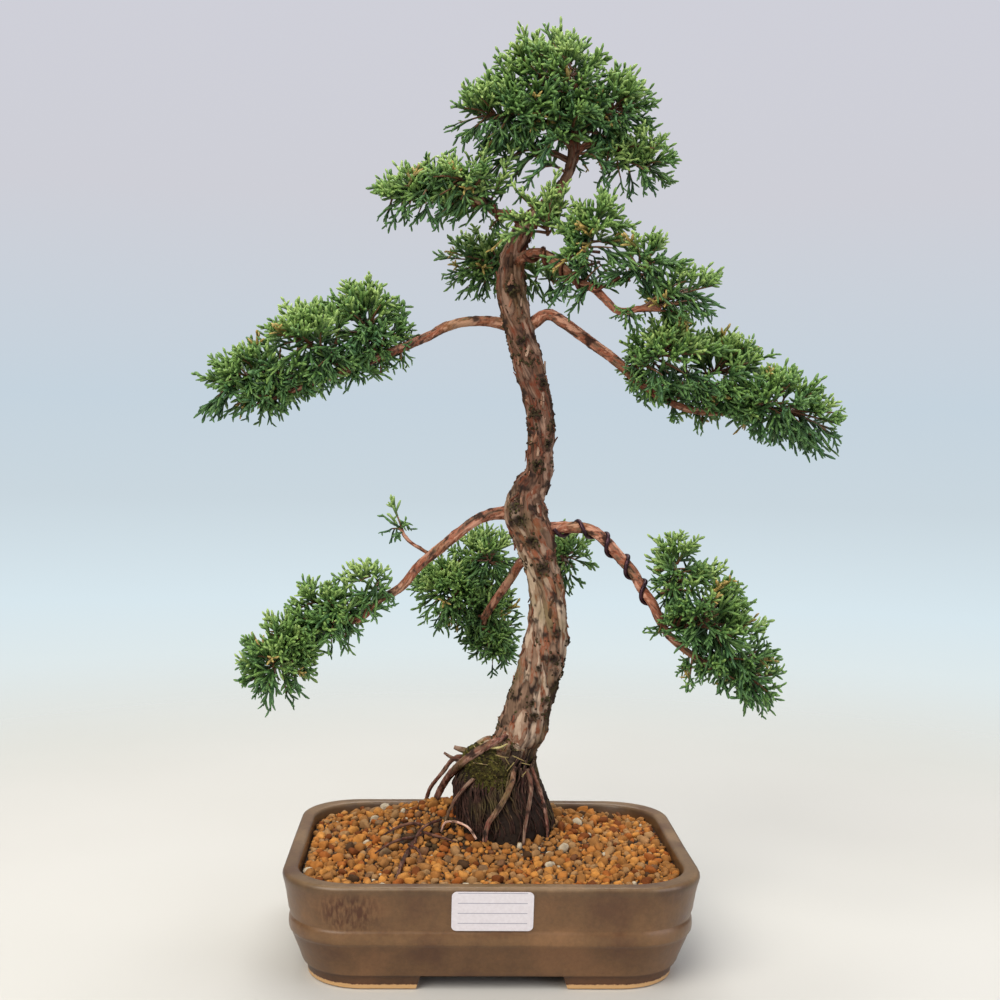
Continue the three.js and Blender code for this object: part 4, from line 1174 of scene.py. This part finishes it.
def plan_shoots(node, tree, twig, settings, rng):
    """One twig's shoots, each as its foot, its way, its size, its kind and its colour in the map."""
    start, middle, end, loose = twig
    low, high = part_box(node)
    reach = (end - start).length
    count = settings.shoots_per_twig + rng.choice((-1, 0, 0, 1))
    covered = min(reach, 16 * MM)
    if loose:
        count = max(4, round(reach / MM / 3.2))
        covered = reach * 0.8
    planned = []
    for k in range(count):
        last = k == count - 1
        t = max(0.0, 1 - covered * (1 - (k + 0.6) / count) / max(reach, MM))
        foot = end if last else bow(start, middle, end, t)
        tangent = ((middle - start) * (1 - t) + (end - middle) * t).normalized()
        side = tangent.cross(UP)
        if side.length < 0.1:
            side = Vector((1, 0, 0))
        side = (side.normalized() * (1 if k % 2 else -1)
                + tangent.cross(side).normalized() * rng.uniform(-0.9, 0.9))
        out = tangent if loose else inside_depth(tree, foot)[1]
        way = tangent * 0.55 + out * 0.75 + side * (0.15 if last else 0.5)
        way += UP * 0.25 + Vector((rng.gauss(0, 0.15), rng.gauss(0, 0.15), rng.gauss(0, 0.15)))
        under = out.z < -0.35 and rng.random() < 0.75
        if under:
            way = way.normalized() + Vector((0, 0, -0.45))
        way.normalize()
        kind = NEEDLE if under else rng.choice((FORKED, FORKED, TUFTED))
        length = SHOOT_LENGTHS[kind] * MM * settings.shoot_scale
        size = rng.uniform(0.75, 1.12)
        tip = foot + way * length * size
        over = -inside_depth(tree, tip)[0]
        room = rng.gauss(0.8, 2.0) * MM
        if loose:
            size *= 0.72
        elif over > room:
            size *= max(0.42, 1 - (over - room) / (length * size))
        width = (0.62 + 0.38 * size) * settings.shoot_scale
        # Painted light: a shoot that faces up or sits high in its pad takes a lighter place in the map, with
        # a random spread.
        light = 0.4 + 0.16 * out.z + 0.12 * (tip.z - low.z) / (high.z - low.z) + rng.gauss(0, 0.09)
        light = min(LIGHTEST_LEAF, max(DARKEST_LEAF, light + PAINTED_LIGHT_PADS.get(node, 0.0)))
        column = DRY_LEAF if rng.random() < settings.dry_share else light
        planned.append((foot, way, (width, width, size * settings.shoot_scale), kind, column))
    return planned


def grow_pad(node, shapes, settings, rng):
    """Fills one foliage pad of the frame with twigs and shoots, fed by the limbs that enter it."""
    tree = surface_of(node)
    tips = choose_tips(node, tree, settings.twig_spacing * OPENNESS.get(node, 1.0), rng)
    twigs = plan_twigs(node, tips, rng)
    planned = [shoot for twig in twigs for shoot in plan_shoots(node, tree, twig, settings, rng)]
    feet, ways, sizes, kinds, columns = (np.array(part) for part in zip(*planned))
    rolls = np.array([rng.uniform(0, 6.28) for _ in planned])
    heap = Heap()
    for kind, shape in enumerate(shapes):
        mine = kinds == kind
        if mine.any():
            heap.add(shape, frames(ways[mine], sizes[mine], rolls[mine], feet[mine]), columns[mine])
    still = np.concatenate([np.eye(3), np.zeros((3, 1))], 1)[None]
    for start, middle, end, _ in twigs:
        heap.add(twig_tube(*twig_route(start, middle, end)), still, [rng.uniform(0.82, 0.97)])
    return heap.build(node.replace("foliage", "shoots"))


# ---- soil --------------------------------------------------------
def scatter_stones(count, radii, spacing, ground, taken, rng):
    """Dart-throwing: places for stones on the soil that keep clear of the ones already there."""
    inner_x, inner_y = POT_HALF_LENGTH - 8.8, POT_HALF_DEPTH - 8.8
    corner = RIM_CORNER - 5
    found = []
    cell = 4.0
    grid = {}
    for x, y, radius in taken:
        grid.setdefault((int(x // cell), int(y // cell)), []).append((x, y, radius))
    for _ in range(count * 14):
        if len(found) >= count:
            break
        x, y = rng.uniform(-inner_x, inner_x), rng.uniform(-inner_y, inner_y)
        radius = radii[0] + (radii[1] - radii[0]) * rng.random() ** 1.25
        ex = max(0.0, abs(x) - (inner_x - corner))
        ey = max(0.0, abs(y) - (inner_y - corner))
        if math.hypot(ex, ey) > corner - radius * 0.9:
            continue
        key = (int(x // cell), int(y // cell))
        close = [stone for i in (-1, 0, 1) for j in (-1, 0, 1)
                 for stone in grid.get((key[0] + i, key[1] + j), ())]
        if any(math.hypot(ox - x, oy - y) < (radius + other) * spacing for ox, oy, other in close):
            continue
        hit, normal, _, _ = ground.ray_cast(at(x, y, 140), Vector((0, 0, -1)))
        if hit is None:
            continue
        grid.setdefault(key, []).append((x, y, radius))
        found.append((x, y, radius, hit, normal))
    return found


def heap_stones(name, shapes, spots, sink, rng):
    """Turns the places into stones: each with its own turn, squash and colour."""
    heap = Heap()
    groups = [[] for _ in shapes]
    for spot in spots:
        groups[rng.randrange(len(shapes))].append(spot)
    for shape, group in zip(shapes, groups):
        if not group:
            continue
        ways, sizes, feet, columns = [], [], [], []
        for x, y, radius, hit, normal in group:
            way = Vector(normal) + Vector((rng.gauss(0, 0.5), rng.gauss(0, 0.5), 0.2))
            ways.append(way)
            sizes.append([radius * MM * rng.uniform(0.88, 1.12) for _ in range(3)])
            feet.append(hit + Vector(normal) * radius * MM * (sink + rng.uniform(-0.15, 0.2)))
            humus = math.exp(-(((x + 30) / 13) ** 2 + ((y - 4) / 12) ** 2))
            dark = rng.random() < 0.85 * humus
            columns.append(rng.uniform(0.84, 0.97) if dark
                           else rng.choice(STONE_CELLS) + rng.uniform(0, 0.02))
        rolls = np.array([rng.uniform(0, 6.28) for _ in group])
        heap.add(shape, frames(np.array(ways), np.array(sizes), rolls, np.array(feet)), columns)
    return heap.build(name)


# ---- wires -------------------------------------------------------
def coil_route(stations, begin, end, turns, thick):
    """The wire's middle line, wound round part of a branch."""
    line = []
    for k in range(len(stations) - 1):
        a, b = stations[k], stations[k + 1]
        count = max(1, round(math.dist(a[:3], b[:3]) / 0.8))
        line += [[a[i] + (b[i] - a[i]) * j / count for i in range(4)] for j in range(count)]
    line.append(list(stations[-1]))
    line = np.array(line, float)
    for _ in range(6):
        line[1:-1] = (line[:-2] + line[1:-1] * 2 + line[2:]) / 4
    length = np.concatenate([[0], np.cumsum(np.linalg.norm(np.diff(line[:, :3], axis=0), axis=1))])
    count = round(turns * 12)
    route = []
    side = None
    before = None
    for k in range(count + 1):
        t = begin + (end - begin) * k / count
        spot = [np.interp(t * length[-1], length, line[:, i]) for i in range(4)]
        ahead = [np.interp(t * length[-1] + 1, length, line[:, i]) for i in range(3)]
        way = (Vector(ahead) - Vector(spot[:3])).normalized()
        if side is None:
            side = way.cross(UP).normalized()
        else:
            side = (before.rotation_difference(way) @ side).normalized()
        before = way
        reach = spot[3] + thick / 2 - 0.3
        turned = Matrix.Rotation(2 * math.pi * turns * k / count, 3, way) @ side
        route.append([spot[i] + turned[i] * reach for i in range(3)] + [thick / 2])
    return route


# Old branch scars on the trunk: each is [x, y, z, size] in pot millimetres.
TRUNK_KNOTS = [
    (26, 2, 201, 3.4), (20, 1, 216, 3.0), (34, 2, 167, 2.6), (33, 3, 152, 3.0), (22.5, 2, 128, 2.4),
    (23, 2, 121, 2.6), (30, 3, 129, 2.6), (25, 2, 147, 1.8), (40, 12, 161, 2.4), (10, -1, 235, 3.8),
    (13, 0, 227, 3.2), (30, 6, 208, 2.6), (6, -3, 350, 2.6), (12, -2, 322, 2.4), (23, 1, 300, 2.8),
    (20, 0, 284, 2.6), (27, 3, 268, 2.4), (22, 2, 256, 2.8)]


# ---- settings ----------------------------------------------------
def shade_property(name, text, code):
    return bpy.props.FloatVectorProperty(name=name, description=text, subtype="COLOR", size=3, min=0, max=1,
                                         default=linear(code)[:3])


def length_property(name, text, default):
    return bpy.props.FloatProperty(name=name, description=text, default=default * MM, min=0,
                                   subtype="DISTANCE", unit="LENGTH")


class FoliageSettings(bpy.types.PropertyGroup):
    shoot_scale: bpy.props.FloatProperty(name="Shoot scale", description="Size of the cord-like shoots",
                                         default=1.0, min=0.1, subtype="FACTOR")
    twig_spacing: length_property("Twig spacing", "Least distance between the ends of two twigs", 9.6)
    shoots_per_twig: bpy.props.IntProperty(name="Shoots per twig", description="Shoots each twig carries",
                                           default=6, min=1)
    dry_share: bpy.props.FloatProperty(name="Dry share", description="Part of the shoots that have dried",
                                       default=0.025, min=0, max=1, subtype="FACTOR")


class WoodSettings(bpy.types.PropertyGroup):
    relief: length_property("Bark relief", "How far the trunk's plates stand out", 1.3)
    branch_relief: length_property("Branch relief", "How far the branches' bark stands out", 0.35)


class PotSettings(bpy.types.PropertyGroup):
    waviness: length_property("Waviness", "How far the hand-pressed wall wanders", 0.35)


class SoilSettings(bpy.types.PropertyGroup):
    coarse_count: bpy.props.IntProperty(name="Coarse granules", description="How many large granules",
                                        default=1500, min=0)
    fine_count: bpy.props.IntProperty(name="Fine granules", description="How many small granules",
                                      default=3300, min=0)


class WireSettings(bpy.types.PropertyGroup):
    diameter: length_property("Wire diameter", "Thickness of the training wire", 2.2)


class StageSettings(bpy.types.PropertyGroup):
    lens: bpy.props.FloatProperty(name="Lens", description="Focal length of the camera", default=47.67,
                                  unit="CAMERA")
    key_power: bpy.props.FloatProperty(name="Key light", description="Power of the soft key light",
                                       default=34.0, unit="POWER")


# Where the camera stands, in pot millimetres, and how it is turned, in degrees.
EYE_PLACE = (-29.5, -706.1, 265.7)
EYE_AZIMUTH, EYE_DIP, EYE_ROLL = -2.58, 2.28, 1.12

SETTINGS = {
    "bonsai_foliage": FoliageSettings, "bonsai_wood": WoodSettings, "bonsai_pot": PotSettings,
    "bonsai_soil": SoilSettings, "bonsai_wire": WireSettings, "bonsai_stage": StageSettings}


# ---- operators ---------------------------------------------------
class BONSAI_OT_pot(bpy.types.Operator):
    """Model the glazed pot and finish the mesh plates over its drain holes"""
    bl_idname = "bonsai.pot"
    bl_label = "Pot"

    def execute(self, context):
        piece = model_pot(context.scene.bonsai_pot.waviness)
        finish_piece(piece, "stoneware_pot", stoneware_glaze(), "stoneware_glaze", "pot", angle=35)
        plastic = moulded_mesh()
        for node in ("drain_mesh_left", "drain_mesh_right"):
            coat(node, plastic)
        return {"FINISHED"}


class BONSAI_OT_label(bpy.types.Operator):
    """Finish the ruled card that stands against the pot"""
    bl_idname = "bonsai.label"
    bl_label = "Label"

    def execute(self, context):
        coat("label", coated_card())
        return {"FINISHED"}


class BONSAI_OT_soil(bpy.types.Operator):
    """Lay clay granules over the soil"""
    bl_idname = "bonsai.soil"
    bl_label = "Soil"

    def execute(self, context):
        settings = context.scene.bonsai_soil
        rng = random.Random(11)
        ground = surface_of("substrate")
        coat("substrate", humus_and_gap_shade())
        foot_x, foot_y, _, foot_radius = TRUNK[1]
        stem_spots = [(foot_x, foot_y, foot_radius)]
        coarse = scatter_stones(settings.coarse_count, (1.9, 3.5), 0.93, ground, stem_spots, rng)
        fine_taken = stem_spots + [(x, y, r * 0.62) for x, y, r, _, _ in coarse]
        fine = scatter_stones(settings.fine_count, (1.0, 1.9), 0.9, ground, fine_taken, rng)
        clay = palette_mineral("fired_clay_granules", STONE_COLOURS, 0.9, 0.25)
        shapes = [shape_of(model_stone(2, rng), 0.012) for _ in range(7)]
        piece = heap_stones("granules_coarse", shapes, coarse, 0.3, rng)
        finish_piece(piece, "granules_coarse", clay, "clay_granules")
        shapes = [shape_of(model_stone(1, rng), 0.012) for _ in range(6)]
        piece = heap_stones("granules_fine", shapes, fine, 0.15, rng)
        finish_piece(piece, "granules_fine", clay, "clay_granules")
        return {"FINISHED"}


class BONSAI_OT_trunk(bpy.types.Operator):
    """Model the trunk with its plated bark"""
    bl_idname = "bonsai.trunk"
    bl_label = "Trunk"

    def execute(self, context):
        piece = stem(TRUNK, 64, 1.7, cuts=1)
        peel(piece, context.scene.bonsai_wood.relief / MM, (6.8, 27), swirl=0.016,
             knots=TRUNK_KNOTS)
        bark = flaking_bark("juniper_bark", "#b8a08a", "#8c705c", "#84492f", "#38271d", wet="#2a1f17",
                            grain_mm=3.4)
        finish_piece(piece, "trunk_wood", bark, "trunk_bark", "trunk")
        return {"FINISHED"}


class BONSAI_OT_bark_flakes(bpy.types.Operator):
    """Lift flakes and crumbs of bark off the trunk"""
    bl_idname = "bonsai.bark_flakes"
    bl_label = "Bark flakes"

    def execute(self, context):
        rng = random.Random(21)
        trunk = bpy.data.objects["trunk_wood"]
        heap = Heap()
        flake = shape_of(model_flake(), 0.02)
        feet, ways = spots_on(trunk, 230, 110, 395, rng)
        lengths = np.array([rng.uniform(2.4, 6.5) for _ in feet]) * MM
        sizes = np.stack([lengths * 0.75, lengths, lengths], 1)
        rolls = np.array([rng.choice((0, math.pi)) + rng.gauss(-0.1, 0.14) for _ in feet])
        colours = [rng.choice((0.3, 0.36, 0.56, 0.6, 0.64)) + rng.uniform(0, 0.04)
                   for _ in feet]
        heap.add(flake, frames(ways, sizes, rolls, feet + ways * 0.1 * MM), colours)
        crumb = shape_of(model_stone(1, rng), 0.02)

        def in_patches(points, height):
            patch = np.array([max(0.0, noise.noise(Vector(p) / (16 * MM)) - 0.15) for p in points]) + 0.004
            for x, y, z, size in TRUNK_KNOTS:
                away = np.linalg.norm(points - np.array(at(x, y, z)), axis=1) / (size * MM)
                patch += 0.8 * np.exp(-away ** 2)
            return patch

        feet, ways = spots_on(trunk, 1300, 102, 385, rng, in_patches)
        sizes = np.array([rng.uniform(0.35, 1.05) for _ in feet]) * MM
        rolls = np.array([rng.uniform(0, 6.28) for _ in feet])
        colours = [rng.uniform(0.68, 0.96) for _ in feet]
        heap.add(crumb, frames(ways, sizes, rolls, feet), colours)
        piece = heap.build("bark_flakes")
        finish_piece(piece, "bark_flakes", palette_mineral("loose_bark", BARK_COLOURS, 0.9, 0.2),
                     "trunk_bark")
        return {"FINISHED"}


class BONSAI_OT_root_fibres(bpy.types.Operator):
    """Run thin roots down the foot of the trunk, with stubs, a stalk and litter on its shoulder"""
    bl_idname = "bonsai.root_fibres"
    bl_label = "Root fibres"

    def execute(self, context):
        rng = random.Random(8)
        strands = plan_root_fibres(150, rng)
        dark = flaking_bark("wet_root_fibre", "#4a3229", "#2c1e18", "#40211b", "#120d0a", grain_mm=1.6)
        finish_piece(model_strands(strands, 6, 0.12), "root_fibres", dark, "root_bark")
        stubs = [
            [[-3, 14, 97, 2.4], [-10, 14, 98.4, 2], [-15, 15, 99.3, 1.7], [-19.5, 16, 100.6, 1.1]],
            [[-12, 24, 90, 1.2], [-20, 22, 93, 1.1], [-25, 22, 96, 0.7]],
            [[4, 2, 93, 1.4], [-6, 1, 89, 1.3], [-15, 2, 80, 1.1], [-21, 4, 70, 0.9], [-25, 6, 58, 0.8]],
            [[20, 3, 92, 1.3], [22, 0, 84, 1.3], [21, -4, 74, 1.1], [19, -7, 64, 1], [18, -9, 54, 0.8]]]
        brown = flaking_bark("root_stub_bark", "#8d7260", "#6d5244", "#6a3d31", "#2b1d17", grain_mm=2.0)
        finish_piece(model_strands(stubs, 12, 0.25), "root_stubs", brown, "root_bark")
        straws = [[[-6, 6, 105, 0.5], [-1, 3, 103.5, 0.7], [4, 2, 103.6, 0.7], [9, 3, 105.5, 0.4]]]
        for _ in range(14):
            x, y, z = rng.uniform(-8, 20), rng.uniform(-2, 8), rng.uniform(90, 104)
            turn = rng.uniform(0, 6.28)
            reach = rng.uniform(2, 5)
            ends = [x + math.cos(turn) * reach, y + rng.uniform(-2, 1), z + math.sin(turn) * reach * 0.5]
            other_end = [2 * x - ends[0], y, 2 * z - ends[2], 0.3]
            straws.append([other_end, [x, y - 0.6, z, 0.35], ends + [0.25]])
        dry = flaking_bark("dry_stalk", "#cfc48a", "#a89a62", "#8a7048", "#5a4630", grain_mm=1.6)
        finish_piece(model_strands(straws, 6, 0.05), "dry_stalks", dry, "moss")
        return {"FINISHED"}


class BONSAI_OT_branches(bpy.types.Operator):
    """Model the branches"""
    bl_idname = "bonsai.branches"
    bl_label = "Branches"

    def execute(self, context):
        bark = flaking_bark("young_juniper_bark", "#bf8d75", "#98634d", "#84472f", "#43291f", grain_mm=2.4,
                            algae_share=0.35)
        for name, stations in BRANCHES.items():
            piece = peel(stem(stations, 24, 1.2), context.scene.bonsai_wood.branch_relief / MM, (2, 9),
                         swirl=0.03)
            finish_piece(piece, name.replace("branch", "limb"), bark, "branch_bark", name)
        return {"FINISHED"}


class BONSAI_OT_roots(bpy.types.Operator):
    """Model the aerial and surface roots"""
    bl_idname = "bonsai.roots"
    bl_label = "Roots"

    def execute(self, context):
        bark = flaking_bark("root_bark", "#a37c6c", "#7a5344", "#6e3a30", "#2c1c17", grain_mm=2.0)
        damp = flaking_bark("damp_surface_root", "#74503f", "#50352b", "#5a2e26", "#1f1410", grain_mm=2.0,
                            algae_share=0.0)
        rootlets = [
            [[-36, 2, 57, 1], [-31, -5, 58, 0.9], [-25, -9, 57.5, 0.7], [-18, -11, 56, 0.5]],
            [[-40, -6, 57, 1], [-47, -10, 57, 0.8], [-54, -17, 56, 0.6], [-60, -25, 54, 0.4]],
            [[-34, 7, 59, 1], [-41, 11, 59.5, 0.9], [-49, 9, 58, 0.8], [-57, 4, 55, 0.5]],
            [[-26, 10, 62, 0.9], [-33, 4, 61, 0.8], [-38, -3, 58.5, 0.7], [-40, -14, 56, 0.5]],
            [[-43, -14, 55.5, 0.8], [-38, -24, 55.5, 0.7], [-36, -34, 54, 0.4]]]
        pale = flaking_bark("pale_new_root", "#f0cfba", "#dfb29c", "#cf9682", "#94665a", grain_mm=3.0,
                            algae_share=0.0)
        for name, stations in ROOTS.items():
            young = name == "root_surface_arch"
            slim = {"root_surface_arch": 0.7, "root_front": 0.82}.get(name, 1.0)
            stations = [[x, y, z, radius * slim] for x, y, z, radius in stations]
            piece = peel(stem(stations, 20, 1.0), 0.08 if young else 0.3, (1.4, 7), swirl=0.03)
            skin = pale if young else damp if "surface" in name else bark
            finish_piece(piece, name.replace("root", "rootlet"), skin, "root_bark", name)
        finish_piece(model_strands(rootlets, 8, 0.15), "surface_rootlets", damp, "root_bark")
        return {"FINISHED"}


class BONSAI_OT_wires(bpy.types.Operator):
    """Wind the training wires round their branches"""
    bl_idname = "bonsai.wires"
    bl_label = "Training wires"

    def execute(self, context):
        thick = context.scene.bonsai_wire.diameter / MM
        for name, (branch, begin, end, turns) in WIRES.items():
            route = coil_route(BRANCHES[branch], begin, end, turns, thick)
            if name == "wire_right_high":
                x, y, z, radius = route[-1]
                route += [[x + 3.5, y - 1.5, z + 2, radius], [x + 13, y - 2, z + 7, radius]]
            piece = stem(route, 12, 0.9)
            skin = (anodised_wire("anodised_aluminium_purple", "#4b3038", "#2a1a20")
                    if name == "wire_right_low"
                    else anodised_wire("anodised_aluminium_copper", "#80503c", "#4b2c22"))
            finish_piece(piece, name.replace("wire", "winding"), skin, "training_wire", name)
        return {"FINISHED"}


class BONSAI_OT_foliage(bpy.types.Operator):
    """Grow the foliage pads"""
    bl_idname = "bonsai.foliage"
    bl_label = "Foliage"

    def execute(self, context):
        settings = context.scene.bonsai_foliage
        rng = random.Random(5)
        side = [(0, 0.6, 0), (5.2, 0.9, 0.5), (7.4, 0.4, 1)]
        forked = model_shoot([(0, 0.6, 0), (6, 0.88, 0.1), (12.5, 0.94, 1), (15.6, 0.4, 1.7)],
                             side, 4, 33, 4.4, rng)
        tufted = model_shoot([(0, 0.6, 0), (5, 0.92, 0.2), (9.8, 0.92, 0.6), (11.8, 0.42, 0.9)],
                             side, 4, 36, 3, rng)
        long_side = [(0, 0.5, 0), (6, 0.76, 0.5), (9, 0.32, 1.2)]
        needle = model_shoot([(0, 0.5, 0), (7, 0.76, 0.2), (14.5, 0.8, 1.5), (19.6, 0.32, 3)],
                             long_side, 3, 28, 5, rng)
        shoots = [shape_of(piece, 0.01) for piece in (forked, tufted, needle)]
        leaf = juniper_leaf()
        for node in PADS:
            piece = grow_pad(node, shoots, settings, rng)
            finish_piece(piece, piece.name, leaf, "juniper_foliage", node)
        return {"FINISHED"}


class BONSAI_OT_moss(bpy.types.Operator):
    """Lay the moss on the root base"""
    bl_idname = "bonsai.moss"
    bl_label = "Moss"

    def execute(self, context):
        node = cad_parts["moss"]
        clear_selection()
        piece = bpy.data.objects.new("moss_cushion", node.data.copy())
        context.scene.collection.objects.link(piece)
        modify(piece, "REMESH", mode="VOXEL", voxel_size=0.7 * MM)
        points = points_of(piece.data)
        normals = normals_of(piece.data)
        push = np.array([noise.fractal(Vector(p) / (2.4 * MM), 0.7, 2.2, 4) for p in points])
        set_points(piece.data, points + normals * (push[:, None] * 0.9 - 0.3) * MM)
        finish_piece(piece, "moss_cushion", moss_finish(), "moss", "moss")
        rng = random.Random(31)
        trunk = bpy.data.objects["trunk_wood"]
        tuft = shape_of(model_stone(1, rng), 0.02)
        heap = Heap()

        def on_shoulder(points, height):
            patch = np.array([max(0.0, noise.noise(Vector(p) / (9 * MM)) + 0.15) for p in points])
            left = smoothstep(24, 12, (points[:, 0] - POT_MIDDLE.x) / MM)
            return patch * np.exp(-((height - 95) / 8) ** 2) * left

        for host, count, low, high, weight in ((trunk, 1900, 70, 108, on_shoulder),
                                               (piece, 1100, 60, 120, None)):
            feet, ways = spots_on(host, count, low, high, rng, weight)
            sizes = np.array([rng.uniform(0.35, 0.85) for _ in feet]) * MM
            rolls = np.array([rng.uniform(0, 6.28) for _ in feet])
            colours = [rng.uniform(0.0, 0.78) for _ in feet]
            heap.add(tuft, frames(ways, sizes, rolls, feet), colours)
        piece = heap.build("moss_tufts")
        finish_piece(piece, "moss_tufts", palette_mineral("tufted_moss", MOSS_COLOURS, 0.97, 0.3), "moss")
        return {"FINISHED"}


class BONSAI_OT_stage(bpy.types.Operator):
    """Set up the floor, the lights, the sky and the camera"""
    bl_idname = "bonsai.stage"
    bl_label = "Stage"

    def execute(self, context):
        settings = context.scene.bonsai_stage
        clear_selection()
        bpy.ops.mesh.primitive_circle_add(vertices=96, radius=3.2, fill_type="NGON",
                                          location=(POT_MIDDLE.x, POT_MIDDLE.y, -0.0004))
        floor = context.object
        floor.name = "floor"
        apply_place(floor)
        floor.data.materials.append(pale_floor())
        aim = at(0, 0, 240)
        lights = (("key", (-0.75, -1.15, 1.25), 1.3, settings.key_power, "#fffaf2"),
                  ("fill", (1.3, -0.9, 0.7), 1.4, settings.key_power * 0.4, "#f2f5ff"),
                  ("crown", (0.1, 0.5, 1.6), 1.2, settings.key_power * 0.6, "#ffffff"))
        for name, place, size, power, code in lights:
            lamp = bpy.data.lights.new(name, "AREA")
            lamp.size = size
            lamp.energy = power
            lamp.color = linear(code)[:3]
            holder = bpy.data.objects.new(name, lamp)
            context.scene.collection.objects.link(holder)
            holder.location = POT_MIDDLE + Vector(place)
            holder.rotation_euler = (aim - holder.location).to_track_quat("-Z", "Y").to_euler()
        soft_sky(context.scene)
        eye = bpy.data.cameras.new("camera")
        eye.lens = settings.lens
        eye.sensor_width = 36
        eye.clip_start = 0.01
        viewer = bpy.data.objects.new("camera", eye)
        context.scene.collection.objects.link(viewer)
        turn = (Matrix.Rotation(math.radians(EYE_AZIMUTH), 4, "Z")
                @ Matrix.Rotation(math.radians(90 - EYE_DIP), 4, "X")
                @ Matrix.Rotation(math.radians(EYE_ROLL), 4, "Z"))
        viewer.matrix_world = Matrix.Translation(at(*EYE_PLACE)) @ turn
        context.scene.camera = viewer
        context.scene.view_settings.view_transform = "Standard"
        return {"FINISHED"}


OPERATORS = (
    BONSAI_OT_pot, BONSAI_OT_label, BONSAI_OT_soil, BONSAI_OT_trunk, BONSAI_OT_bark_flakes,
    BONSAI_OT_branches, BONSAI_OT_roots, BONSAI_OT_root_fibres, BONSAI_OT_wires, BONSAI_OT_moss,
    BONSAI_OT_foliage, BONSAI_OT_stage)


class BONSAI_PT_panel(bpy.types.Panel):
    """Lists the pieces of the bonsai with their settings"""
    bl_idname = "BONSAI_PT_panel"
    bl_label = "Juniper Bonsai"
    bl_space_type = "VIEW_3D"
    bl_region_type = "UI"
    bl_category = "Bonsai"

    def draw(self, context):
        column = self.layout.column()
        for operator in OPERATORS:
            column.operator(operator.bl_idname)
        for name, group in SETTINGS.items():
            for field in group.__annotations__:
                column.prop(getattr(context.scene, name), field)


def register():
    for group in SETTINGS.values():
        bpy.utils.register_class(group)
    for operator in OPERATORS:
        bpy.utils.register_class(operator)
    bpy.utils.register_class(BONSAI_PT_panel)
    for name, group in SETTINGS.items():
        setattr(bpy.types.Scene, name, bpy.props.PointerProperty(type=group))


def unregister():
    for name in SETTINGS:
        delattr(bpy.types.Scene, name)
    bpy.utils.unregister_class(BONSAI_PT_panel)
    for operator in reversed(OPERATORS):
        bpy.utils.unregister_class(operator)
    for group in reversed(list(SETTINGS.values())):
        bpy.utils.unregister_class(group)


def main():
    noise.seed_set(NOISE_SEED)
    register()
    for operator in OPERATORS:
        clear_selection()
        getattr(bpy.ops.bonsai, operator.bl_idname.split(".")[1])()
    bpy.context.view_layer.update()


if __name__ == "__main__":
    main()
